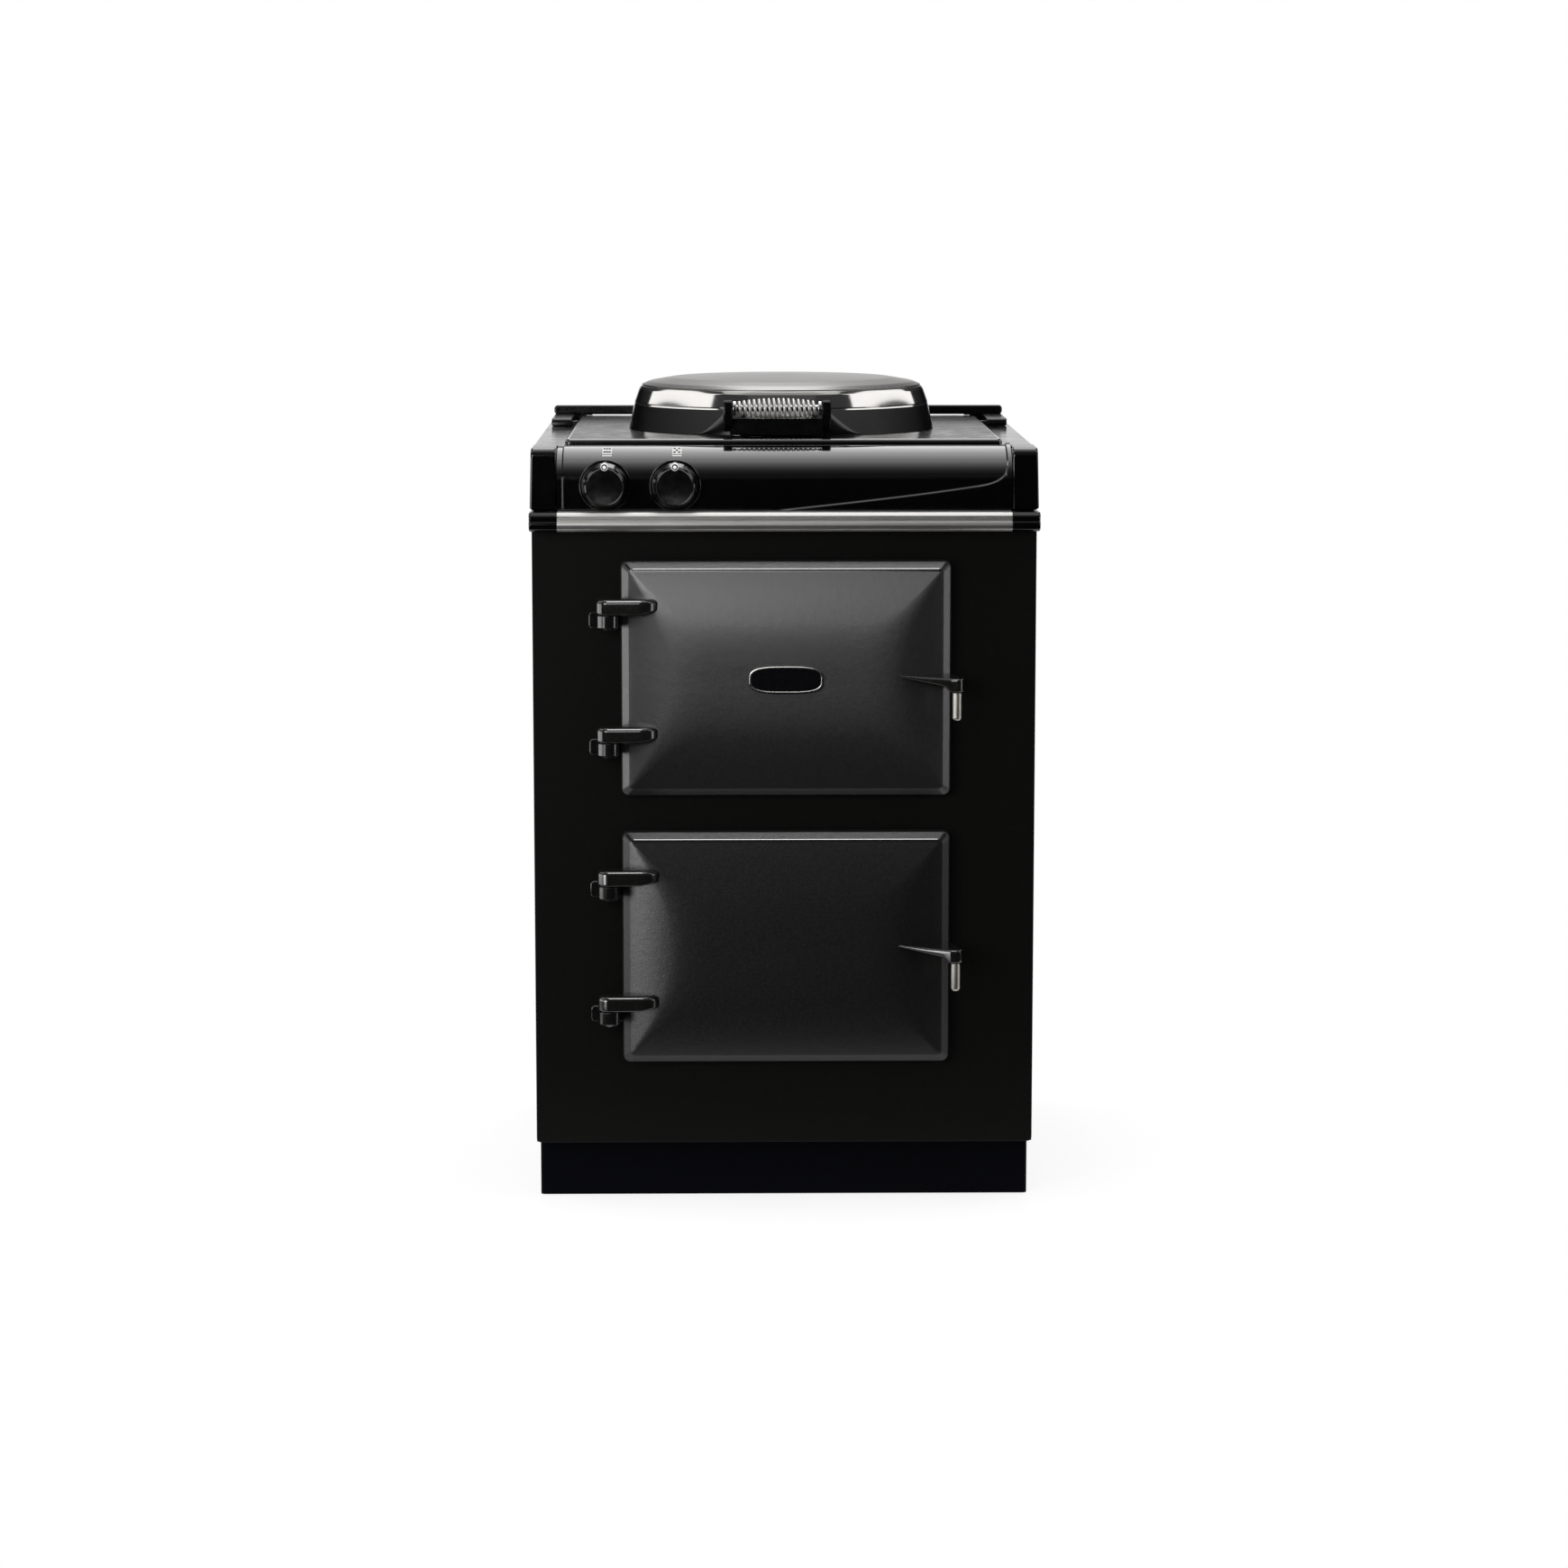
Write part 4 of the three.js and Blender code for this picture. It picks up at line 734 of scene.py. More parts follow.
def strand_recipe() -> Recipe:
    """Strands twisted round a closed path: the start mesh is the path's loop of edges.

    Returns:
        The recipe for a rope seal, with its strands, lay and radii.
    """
    floats = {name: "Float" for name in ("twists", "lay", "strand")}
    recipe = Recipe("Twisted strands", strands="Int", **floats, steps="Int")
    calc, given = recipe.calc, recipe.given
    path = recipe.geo("MeshToCurve", {0: given["Geometry"]})
    fine = recipe.geo("ResampleCurve", {"Curve": path, "Count": given["steps"]})
    inputs = {"Geometry": fine, "Amount": given["strands"]}
    copies = recipe.add("GeometryNodeDuplicateElements", inputs, domain="SPLINE")
    along = recipe.add("GeometryNodeSplineParameter")["Factor"]
    share = calc("DIVIDE", copies["Duplicate Index"], given["strands"])
    angle = calc("MULTIPLY", calc("MULTIPLY_ADD", along, given["twists"], share), math.tau)
    inputs = {0: recipe.geo("InputTangent"), 1: (0.0, 1.0, 0.0)}
    across = recipe.shade("VectorMath", inputs, operation="CROSS_PRODUCT")
    side = calc("MULTIPLY", calc("COSINE", angle), given["lay"])
    rise = calc("MULTIPLY", calc("SINE", angle), given["lay"])
    sideways = recipe.shade("VectorMath", {0: across, "Scale": side}, operation="SCALE")
    upright = recipe.combine(0.0, calc("MULTIPLY", rise, 0.5))
    offset = recipe.shade("VectorMath", {0: sideways, 1: upright}, operation="ADD")
    laid = recipe.geo("SetPosition", {"Geometry": copies[0], "Offset": offset})
    return tube(recipe, laid, 6, given["strand"], False)


def row_recipe() -> Recipe:
    """One shape repeated in rows and columns: the start mesh is the shape at its first place.

    Returns:
        The recipe, with counts and steps of the columns and rows.
    """
    sizes = {"columns": "Int", "rows": "Int", "column_step": "Vector", "row_step": "Vector"}
    recipe = Recipe("Repeated rows", **sizes)
    shape = recipe.given["Geometry"]
    for count, step in (("columns", "column_step"), ("rows", "row_step")):
        inputs = {"Count": recipe.given[count], "Offset": recipe.given[step]}
        line = recipe.geo("MeshLine", {**inputs, "Start Location": (0.0, 0.0, 0.0)})
        shape = recipe.geo("InstanceOnPoints", {"Points": line, "Instance": shape})
    return recipe.end(shape)


def turned(
    name: str,
    profile: Sequence[Flat],
    finish: str,
    centre: Point,
    axis: Axis = Axis.ALONG_Z,
    segments: int = 96,
    sharp: float = 35.0,
) -> Object:
    """A turned form, its profile's heights measured along an axis from a centre.

    Args:
        name: the piece's name.
        profile: (radius, height) from one pole to the other.
        finish: the name of its finish.
        centre: where the axis starts, in millimetres.
        axis: the way the heights point; along Y they point to the front.
        segments: faces round the axis.
        sharp: edges that turn more than this many degrees stay sharp.

    Returns:
        The piece.
    """
    mesh = bmesh.new()
    for radius, height in profile:
        mesh.verts.new((max(radius, 0.0) * MM, height * MM, 0.0))
    made = RECIPES["turned"].make(name, mesh, finish, sharp, segments=segments)
    turn = {
        Axis.ALONG_Z: Matrix.Identity(4),
        Axis.ALONG_Y: Matrix.Rotation(math.pi / 2, 4, "X"),
        Axis.ALONG_X: Matrix.Rotation(math.pi / 2, 4, "Y"),
    }[axis]
    made.data.transform(Matrix.Translation(Vector(centre) * MM) @ turn)
    return made


# ---- finishes


class Pattern(Enum):
    """How a finish's relief lies on its surface: its grain's share along each axis."""

    EVEN = (1.0, 1.0, 1.0)
    ALONG_X = (0.02, 1.0, 1.0)
    ROUND_Z = (0.0, 0.0, 0.0)  # rings round the lid's axis


@dataclass(frozen=True)
class Relief:
    """One layer of bump: its grain in millimetres, its height, and how it lies."""

    grain: float
    height: float
    pattern: Pattern = Pattern.EVEN
    detail: float = 2.0

    def lay(self, nodes: Nodes, where: Socket, below: Socket | None) -> Socket:
        """Adds the layer to a material.

        Args:
            nodes: the material's tree.
            where: the Object coordinates.
            below: the normal of the layer under it.

        Returns:
            The normal with the layer on it.
        """
        if self.pattern is Pattern.ROUND_Z:
            vector = nodes.combine(nodes.from_axis(where, LID_AXIS_Y))
        else:
            vector = nodes.shade("Mapping", {0: where, 3: self.pattern.value})
        grain = nodes.noise(vector, 1 / (self.grain * MM), self.detail)
        inputs = {"Strength": 1.0, "Distance": self.height * MM, "Height": grain}
        if below is not None:
            inputs["Normal"] = below
        return nodes.shade("Bump", inputs)


@dataclass(frozen=True)
class Finish:
    """A surface as it was made: two colours mottled together, gloss that varies, and relief."""

    name: str
    dark: str
    light: str
    rough: Flat
    mottle: float
    reliefs: tuple[Relief, ...]
    metal: float = 0.0
    gloss: float = 0.5
    coat: float = 0.0
    coat_rough: float = 0.05

    def build(self) -> bpy.types.Material:
        """Makes the material.

        Returns:
            The node material, with every pattern on Object coordinates.
        """
        made = bpy.data.materials.new(self.name)
        nodes = Nodes(made)
        where = nodes.add("ShaderNodeTexCoord")["Object"]
        cloud = nodes.noise(where, 1 / (self.mottle * MM), 4.0, 0.6)
        inputs = {
            "Base Color": nodes.mix(cloud, self.dark, self.light),
            "Roughness": nodes.ramp(cloud, 0.3, 0.7, *self.rough),
            "Metallic": self.metal,
            "Specular IOR Level": self.gloss,
            "Coat Weight": self.coat,
            "Coat Roughness": self.coat_rough,
        }
        for relief in self.reliefs:
            inputs["Normal"] = relief.lay(nodes, where, inputs.get("Normal"))
        nodes.add("ShaderNodeOutputMaterial", {0: nodes.shade("BsdfPrincipled", inputs)})
        return made


@dataclass(frozen=True)
class LidPolish:
    """Steel lid: mirror-polished round its side, and satin with fine rings on its crown."""

    name: str = "spun steel lid, polished side and satin crown"
    dark: str = "bbb9b6"
    light: str = "c6c4c1"
    crown_radius: float = 173.2
    blend: float = 0.5
    side_rough: float = 0.07
    crown_rough: float = 0.24
    wear: float = 0.03
    ring: float = 5.0
    ring_height: float = 0.004

    def build(self) -> bpy.types.Material:
        """Makes the material.

        Returns:
            The node material, whose gloss goes by the distance from the lid's axis.
        """
        made = bpy.data.materials.new(self.name)
        nodes = Nodes(made)
        where = nodes.add("ShaderNodeTexCoord")["Object"]
        radius = nodes.from_axis(where, LID_AXIS_Y)
        rings = nodes.noise(nodes.combine(radius), 1 / (self.ring * MM))
        cloud = nodes.noise(where, 25.0, 3.0)
        inner, outer = self.crown_radius - self.blend, self.crown_radius + self.blend
        side = nodes.ramp(radius, inner * MM, outer * MM)
        base = nodes.ramp(side, start=self.crown_rough, end=self.side_rough)
        height = self.ring_height * MM
        bump = {
            "Strength": 1.0,
            "Distance": nodes.ramp(side, start=height, end=0.1 * height),
            "Height": rings,
        }
        inputs = {
            "Base Color": nodes.mix(cloud, self.dark, self.light),
            "Metallic": 1.0,
            "Roughness": nodes.calc("MULTIPLY_ADD", cloud, self.wear, base),
            "Normal": nodes.shade("Bump", bump),
        }
        nodes.add("ShaderNodeOutputMaterial", {0: nodes.shade("BsdfPrincipled", inputs)})
        return made


def even(grain: float, height: float, detail: float = 2.0) -> tuple[Relief]:
    """A single even layer of relief."""
    return (Relief(grain, height, detail=detail),)


DOOR_ENAMEL = Finish(
    "vitreous enamel on cast doors, fired", "0b0a0a", "100f0e", (0.35, 0.43), 3.0,
    even(9.0, 0.12) + even(2.2, 0.08, 4.0), gloss=1.0, coat=0.3, coat_rough=0.38,
)  # fmt: skip
MIRROR_ENAMEL = Finish(
    "vitreous enamel on the fascia, flowed out", "030303", "060607", (0.07, 0.11), 20.0,
    even(45.0, 0.05), gloss=1.0,
)  # fmt: skip

# fmt: off
FINISH_TABLE: dict[str, Finish | LidPolish] = {
    # Sprayed and fired over cast iron: soft orange peel that breaks reflections up.
    "door_enamel": DOOR_ENAMEL,
    # The same, with less gloss, so that only the lower door's left side shows a sheen.
    "dull_enamel": replace(
        DOOR_ENAMEL, name="vitreous enamel on the lower door, duller", gloss=0.5, coat=0.0,
        coat_rough=0.05),
    # The same on small castings, where it flows out: clear, narrow highlights.
    "lug_enamel": Finish(
        "vitreous enamel on lugs and handle arms", "0b0b0a", "131211", (0.12, 0.2), 6.0,
        even(7.0, 0.04), gloss=0.8),
    # The same along the doors' top creases, smoother than the faces: it mirrors a lamp as a line.
    "edge_enamel": Finish(
        "vitreous enamel on the top creases, smooth", "0b0a0a", "100f0e", (0.08, 0.12), 6.0,
        even(24.0, 0.02), gloss=1.0, coat=1.0, coat_rough=0.08),
    # The same on flat plate: quiet, almost without reflections.
    "panel_enamel": Finish(
        "vitreous enamel on flat plate, fired", "0c0b0a", "11100e", (0.42, 0.52), 4.0,
        even(12.0, 0.08) + even(2.5, 0.03, 4.0), gloss=0.1),
    # The same over the fascia: a black mirror with long waves.
    "fascia_enamel": MIRROR_ENAMEL,
    # The same on narrow steps of the fascia and plate: smooth, so that they draw a line of light.
    "bead_enamel": replace(
        MIRROR_ENAMEL, name="vitreous enamel on narrow edges, smooth", rough=(0.1, 0.15),
        mottle=18.0, reliefs=even(20.0, 0.02), coat=1.0, coat_rough=0.1),
    # The same on the raised plate, dulled a little by wiping: blurred mirror of the lid.
    "hob_enamel": Finish(
        "vitreous enamel on the top casting, wiped", "0a0a0b", "141416", (0.16, 0.26), 24.0,
        even(14.0, 0.03) + even(3.0, 0.006), gloss=0.4),
    # The same on the open frame round the plate: clearer reflections, but fainter ones.
    "frame_enamel": Finish(
        "vitreous enamel on the top frame, glossy", "0b0b0d", "131317", (0.1, 0.16), 24.0,
        even(16.0, 0.02), gloss=0.3),
    # Blue-black satin paint: nearly no light comes back.
    "plinth_paint": Finish(
        "stoved satin paint on folded steel", "010104", "04050b", (0.4, 0.5), 16.0,
        even(1.4, 0.02), gloss=0.04),
    # Black gloss paint on cast fittings: clean edges that catch a thin line of light.
    "black_paint": Finish(
        "stoved gloss paint on castings", "050505", "0b0b0c", (0.14, 0.22), 12.0,
        even(9.0, 0.008)),
    # Black plastic from a polished tool: soft, clean highlights.
    "black_plastic": Finish(
        "moulded black plastic, polished tool", "030303", "070707", (0.1, 0.16), 8.0,
        even(5.0, 0.004)),
    # Machined grey iron: fine rings from the facing tool, seasoned dark.
    "cast_iron": Finish(
        "machined cast iron, seasoned", "2a2826", "3d3a37", (0.38, 0.5), 14.0,
        (Relief(1.2, 0.03, Pattern.ROUND_Z), Relief(3.0, 0.02)), metal=0.85),
    # Polished steel of the rod: bright, with a trace of draw lines.
    "polished": Finish(
        "drawn steel, polished and plated", "c9c7c4", "e2e0dd", (0.07, 0.14), 6.0,
        (Relief(2.0, 0.002, Pattern.ALONG_X),), metal=1.0),
    # Hard-drawn wire of the coil grip: satin, so that every turn shows a soft stroke.
    "wire": Finish(
        "spring wire, wound and satin plated", "e2e0dd", "f2f1ee", (0.3, 0.36), 6.0,
        even(1.5, 0.001), metal=0.85),
    # Brushed stainless steel: hair lines along its length that draw highlights out sideways.
    "brushed_steel": Finish(
        "stainless steel, brushed along its length", "dcdad6", "eae8e5", (0.36, 0.42), 60.0,
        (Relief(1.6, 0.002, Pattern.ALONG_X, 0.0),), metal=1.0),
    # Spun steel sheet: rings left by the spinning tool.
    "spun_steel": Finish(
        "spun steel sheet", "a5a4a1", "c4c2bf", (0.28, 0.38), 30.0,
        (Relief(1.4, 0.03, Pattern.ROUND_Z, 3.0),), metal=1.0),
    # The lid: sharp reflections round its side, a soft ringed sheen on its crown.
    "lid_steel": LidPolish(),
    # Nickel plate: warm white metal, satin.
    "nickel": Finish(
        "nickel plate, satin", "c9c5bd", "dedad2", (0.4, 0.46), 9.0,
        even(4.0, 0.002), metal=1.0),
    # Zinc plate: pale grey with a faint yellow passivation.
    "zinc": Finish(
        "zinc plate, passivated", "9a9a90", "bdbcae", (0.32, 0.46), 7.0,
        even(2.0, 0.02), metal=1.0),
    # Galvanised sheet: dull grey spangles.
    "galvanised": Finish(
        "galvanised sheet, spangled", "7d8082", "a3a6a8", (0.35, 0.5), 18.0,
        even(14.0, 0.02), metal=0.9),
    # Oven enamel: grey-black porcelain with pale flecks and a wet gloss.
    "oven_enamel": Finish(
        "porcelain enamel inside the ovens, flecked", "17181c", "33353b", (0.14, 0.24), 2.4,
        even(6.0, 0.05)),
    # Mineral wool: loose yellow-grey fibre.
    "wool": Finish(
        "mineral wool, loose fibre", "8d8362", "c2b78f", (0.85, 0.95), 5.0,
        even(2.0, 0.6, 6.0), gloss=0.2),
    # Braided glass-fibre rope: off-white yarn, matt.
    "rope": Finish(
        "glass-fibre rope, braided", "8f8b82", "c8c4b8", (0.75, 0.9), 1.6,
        even(0.8, 0.12, 4.0), gloss=0.2),
    # Glass-black field of the badge plate: a small black mirror.
    "badge_field": Finish(
        "fired black enamel on the badge plate", "050506", "0c0c0e", (0.08, 0.14), 6.0,
        even(5.0, 0.02)),
    # Polished rim of the badge plate: a thin bright frame.
    "badge_rim": Finish(
        "plated die-casting, polished", "9d9b98", "bcbab6", (0.16, 0.26), 5.0,
        even(2.0, 0.01), metal=1.0),
    # Printed marks: flat stoving ink, white and black.
    "white_ink": Finish(
        "screen-printed white ink, stoved", "c9c9c7", "dcdcda", (0.4, 0.55), 1.0,
        even(0.6, 0.01), gloss=0.4),
    "black_ink": Finish(
        "screen-printed black ink, stoved", "0a0a0a", "141414", (0.7, 0.85), 1.0,
        even(0.6, 0.01), gloss=0.05),
}
# fmt: on

# Filled by main: what the frame holds, the recipes and the materials by name.
FRAME: dict = {}
RECIPES: dict[str, Recipe] = {}
FINISHES: dict[str, bpy.types.Material] = {}


# ---- cabinet


@dataclass
class Cabinet:
    """Panels, plinth and feet: the fixed outside of the cooker below the fascia."""

    panel_edge: float = 1.2
    sheet_edge: float = 0.5
    plinth_edge: float = 0.8
    hem: float = 1.0
    hem_z: Flat = (70.5, 72.5)
    thread: float = 1.75
    thread_start: float = 10.0

    def build(self) -> None:
        """Makes the panels smooth-edged and gives the hidden sheets their finishes."""
        dress_node("front_panel", "panel_enamel", self.panel_edge)
        for side in ("left", "right"):
            dress_node(f"side_panel_{side}", "panel_enamel", self.sheet_edge)
        dress_node("plinth", "plinth_paint", self.plinth_edge)
        x, y, _ = extent("plinth")
        section = rounded_rectangle((y[0] - self.hem, y[0] + 1.0), self.hem_z, 0.8, 5)
        hem = prism(section, (x[0] + 1, x[1] - 1), Axis.ALONG_X, 0.3)
        hem = piece("plinth_hem_painted", hem, ["black_paint"], 50.0)
        dress(hem, "cooker")
        for end in ("front", "rear"):
            for side in ("left", "right"):
                self.foot(f"foot_{end}_{side}")
        for node, finish in (("base_tray", "galvanised"), ("insulation", "wool")):
            refinish(node, finish)

    def foot(self, node: str) -> None:
        """One levelling foot: a turned pad on a threaded stem.

        Args:
            node: the CAD node it stands for.
        """
        x, y, (_, top) = extent(node)
        corners = [(0, 0), (21, 0), (22, 2), (22, 6), (12, 7.4), (6, 8), (6, self.thread_start)]
        profile = fillet(corners, [0, 1, 1, 2, 2, 1, 0])
        for i in range(int((top - 2 - self.thread_start) / self.thread)):
            z = self.thread_start + i * self.thread
            profile += [(6, z), (5.2, z + 0.5 * self.thread)]
        profile += [(6, top - 1), (5.4, top), (0, top)]
        centre = (sum(x) / 2, sum(y) / 2, 0.0)
        made = turned(f"{node}_finished", profile, "zinc", centre, segments=32)
        dress(made, "cooker", [node])


@dataclass
class BackPanel:
    """Rear sheet with its louvred vents and the cable gland."""

    face: float = 322.5
    louvre_length: float = 120.0
    louvre_height: float = 6.0
    pitch: float = 18.0
    rows: int = 6
    column: float = 110.0
    middle: float = 480.0
    hood: float = 5.0
    sheet: float = 0.8
    ramp_length: float = 10.0

    def build(self) -> None:
        """Makes the panel, its pressed hoods and the gland."""
        dress_node("back_panel", "panel_enamel", 0.3)
        first = self.middle - (self.rows - 1) / 2 * self.pitch
        made = RECIPES["rows"].make(
            "louvre_hoods",
            self.one_hood(first),
            "panel_enamel",
            columns=2,
            rows=self.rows,
            column_step=(2 * self.column * MM, 0.0, 0.0),
            row_step=(0.0, 0.0, self.pitch * MM),
        )
        dress(made, "cooker")
        dress_node("cable_gland", "black_plastic", 0.6, 40.0)

    def one_hood(self, z: float) -> Mesh:
        """One pressed hood over a vent slot, open downwards.

        Args:
            z: the slot's lower edge.

        Returns:
            The hood at the left column's lowest row.
        """
        x0 = -self.column - self.louvre_length / 2 - 1
        x1 = -self.column + self.louvre_length / 2 + 1
        top = z + self.louvre_height + 3
        loops: list[Loop] = []
        for t in np.arange(13) / 12:
            end = min(t, 1 - t) * (x1 - x0)
            out = self.hood * math.sin(math.pi / 2 * min(end / self.ramp_length, 1)) + 0.05
            outer = [
                (
                    x0 + (x1 - x0) * t,
                    self.face + out * math.sin(a),
                    z + 0.5 + (top - z) * (1 - 0.9 * math.sin(a) ** 3 if a < 1.2 else 0.2),
                )
                for a in np.linspace(0, math.pi / 2, 7)
            ]
            wall = self.sheet
            inner = [(u, max(v - wall, self.face), w - wall * 0.6) for u, v, w in reversed(outer)]
            loops.append(outer + inner)
        return outward(skin(loops))


# ---- doors


@dataclass
class OvenDoor:
    """A cast oven door: its casting with lugs and handle arm, grip, liner and seal.

    The enamel is the name of its face's finish. Depths are measured forwards from the panel.
    """

    side: str
    enamel: str
    centre_z: float
    centre_x: float = 1.7
    width: float = 392.0
    height: float = 282.0
    corner: float = 9.0
    standoff: float = 4.5
    rim: float = 19.0
    draft: float = 10.0
    crown: float = 18.0
    side_run: float = 0.72  # where a side facet ends, in parts of the half height
    end_run: float = 0.95  # where the top and bottom facets end
    facet_bend: float = 2.2  # 1 would be a flat facet
    hip_soft: Flat = (0.05, 0.27)  # how wide a hip is blended, at its foot and in the middle
    crease: float = 4.0
    edge_band: float = 3.2
    liner_margin: float = 11.7
    liner_recess: float = 1.8
    hinge_forward: float = 36.0
    hinge_reach: float = 14.7
    lug_radius: float = 13.5
    lug_length: float = 60.0
    lug_thickness: float = 19.0
    lug_planes: Flat = (-73.1, 78.5)
    lug_edges: Flat = (2.6, 6.4)
    arm_root: float = 12.5
    arm_top: float = 6.0
    arm_drop: float = 16.5
    arm_length: float = 69.2
    arm_overhang: float = 4.2
    arm_forward: float = 65.0
    arm_end: float = 7.9
    arm_edge: float = 3.4
    grip_radius: float = 5.3
    grip_length: float = 33.5
    seal_edge: float = 4.5
    seal_corner: float = 14.0
    strand_share: float = 0.2604

    @property
    def face(self) -> float:
        """How far the rim's crease stands in front of the panel."""
        return self.standoff + self.rim

    @property
    def body(self) -> str:
        """The CAD body that the door rides on."""
        return f"{self.side}_oven_door"

    def place(self, x: float, depth: float, z: float) -> Point:
        """A point of the door in the object's frame."""
        return (self.centre_x + x, FRONT_FACE - depth, self.centre_z + z)

    def crown_at(self, x: float, z: float) -> float:
        """Height of the crown over the crease.

        Four facets rise from the rim, meet in hips at the corners and melt into a dome.

        Args:
            x: across from the middle.
            z: up from the middle.

        Returns:
            The height in millimetres.
        """
        reach, rise = self.width / 2 - self.draft, self.height / 2 - self.draft

        def climb(distance: float, span: float) -> float:
            """How far a facet has climbed, 0 to 1."""
            return 1 - (1 - limited(distance / span)) ** self.facet_bend

        from_side = climb(reach - abs(x), self.side_run * rise)
        from_end = climb(rise - abs(z), self.end_run * rise)
        low = min(from_side, from_end)
        foot, middle = self.hip_soft
        softness = foot + (middle - foot) * low
        gap = max(softness - abs(from_side - from_end), 0) / softness
        return self.crown * (low - 0.25 * gap * gap * softness)

    def loop(self, inset_by: float, depth: Callable[[float, float], float], corner: float) -> Loop:
        """One loop of points round the door.

        Args:
            inset_by: how far it lies inside the door's outline.
            depth: the distance in front of the panel at (x, z).
            corner: its corners' radius.

        Returns:
            The loop in the object's frame.
        """
        reach, rise = self.width / 2 - inset_by, self.height / 2 - inset_by
        radius = min(corner, reach, rise)
        round_it = rounded_rectangle((-reach, reach), (-rise, rise), radius, 10)
        corners = [round_it[11 * k : 11 * k + 11] for k in range(4)]
        flat: list[Flat] = []
        for k, arc in enumerate(corners):
            flat += arc
            start, end = Vector(arc[-1]), Vector(corners[(k + 1) % 4][0])
            steps = 70 if k % 2 == 0 else 100
            flat += [tuple(start.lerp(end, i / steps)) for i in range(1, steps)]
        return [self.place(x, depth(x, z), z) for x, z in flat]

    def casting(self) -> Mesh:
        """The closed casting, from the liner's recess over the drafted wall to the crown.

        Returns:
            The casting; faces near the top crease have index 2.
        """
        back, first_facet = self.standoff, self.draft + 12
        corners = [
            (self.liner_margin, back + self.liner_recess),
            (self.liner_margin, back),
            (1.6, back),
            (0.0, back + 2.2),
            (1.3, self.face - 7.6),
            (self.draft, self.face),
            (first_facet, self.face + self.crown_at(0, self.height / 2 - first_facet)),
        ]
        wall = fillet(corners, [0, 0.6, 1.2, 1.6, 4.0, self.crease, 0], 5)[:-1]
        loops = []
        for inset_by, depth in wall:
            corner = max(self.corner - 0.35 * inset_by, 2.0)
            loops.append(self.loop(inset_by, lambda x, z, d=depth: d, corner))
        last = wall[-1][0]
        over_rim, over_crown = np.arange(1.2, 12, 1.2), np.arange(14, 128 - last, 2.6)
        for extra in [*over_rim, *over_crown]:
            corner = max(self.corner - 3.5 - 0.6 * extra, 0.5)
            loops.append(
                self.loop(last + extra, lambda x, z: self.face + self.crown_at(x, z), corner)
            )

        def near_top_crease(middle: Vector) -> bool:
            """Whether a face lies along the top crease."""
            down = self.height / 2 - (middle.z - self.centre_z)
            across = self.width / 2 - abs(middle.x - self.centre_x)
            return abs(down - self.draft) < self.edge_band and across > down

        return painted(outward(skin(loops)), 2, near_top_crease)

    def lug(self, plane: float) -> Mesh:
        """One hinge lug, rounded like the casting it grows from.

        Args:
            plane: height of its underside from the door's middle.

        Returns:
            The lug, closed.
        """
        r, length, forward = self.lug_radius, self.lug_length, self.hinge_forward
        plan = [(r * math.cos(a), r * math.sin(a)) for a in np.linspace(0.62, 1.5, 18) * math.pi]
        plan += bend((0.62 * length, -r + 1), (0.9 * length, -r + 2), (length, 4.5), 12)
        deep = forward - self.standoff - 6
        plan += [(length, deep), (self.hinge_reach + 6, deep), (self.hinge_reach - 1, r)]
        x0 = -self.width / 2 - self.hinge_reach
        span = (plane + 0.3, plane + 0.3 + self.lug_thickness)
        mesh = prism(plan, span, Axis.ALONG_Z, self.lug_edges, 8)
        for vert in mesh.verts:
            x, y, z = vert.co / MM
            taper = limited((x - 0.55 * length) / (0.45 * length))
            z += 5.0 * taper**1.5 * (1 - (z - plane) / self.lug_thickness)
            z -= 2.2 * taper**2 * ((z - plane) / self.lug_thickness)
            vert.co = Vector(self.place(x + x0, forward - y, z)) * MM
        return outward(mesh)

    def arm(self) -> Mesh:
        """The handle arm: pointed where it leaves the face, deep and hooked at its end.

        Returns:
            The arm, closed.
        """
        edge = self.width / 2
        end, top, heel = edge + self.arm_overhang, self.arm_top, self.arm_root
        root = end - self.arm_length
        front_curve = bend((root, 36.4), (end - 26, 63), (end - 6, 72), 30)
        front_curve += [
            (end + self.arm_end * math.cos(a), self.arm_forward - self.arm_end * math.sin(a))
            for a in np.linspace(-0.6 * math.pi, 0, 14)
        ]
        back_curve = [(root, heel), (edge - 4, heel)]
        back_curve += bend((edge - 2, heel), (end + 1, 31.5), (end + 7.1, 61.4), 20)
        back_curve.append((end + self.arm_end, self.arm_forward))
        low = [(root, top - 2.0), (end - 14, top - 10.2), (end - 8, top - self.arm_drop)]
        low.append((end + self.arm_end, top - self.arm_drop))
        loops: list[Loop] = []
        for x in [*np.linspace(root + 0.5, end - 6, 30), *np.linspace(end - 5, end + 7.6, 18)]:
            front, back, bottom = (
                float(np.interp(x, *zip(*line))) for line in (front_curve, back_curve, low)
            )
            depth, height = front - back, top - bottom
            radius = max(min(self.arm_edge, 0.48 * height, 0.48 * depth), 0.05)
            flat = rounded_rectangle((back, front), (bottom, top), radius, 6)
            loops.append([self.place(x, d, z) for d, z in flat])
        return outward(skin(loops))

    def build(self) -> None:
        """Makes the door's pieces and puts them on its body."""
        lugs = [self.lug(plane) for plane in self.lug_planes]
        mesh = joined(self.casting(), painted(joined(*lugs, self.arm()), 1))
        node = f"{self.side}_door"
        finishes = [self.enamel, "lug_enamel", "edge_enamel"]
        dress(piece(f"{node}_casting", mesh, finishes, 60.0), self.body, [node])
        self.grip()
        dress_node(f"{node}_liner", "oven_enamel", 0.5, 40.0, self.body)
        for end in ("top", "bottom"):
            dress_node(f"{self.side}_hinge_{end}", "lug_enamel", 1.8, 40.0)
        self.seal()

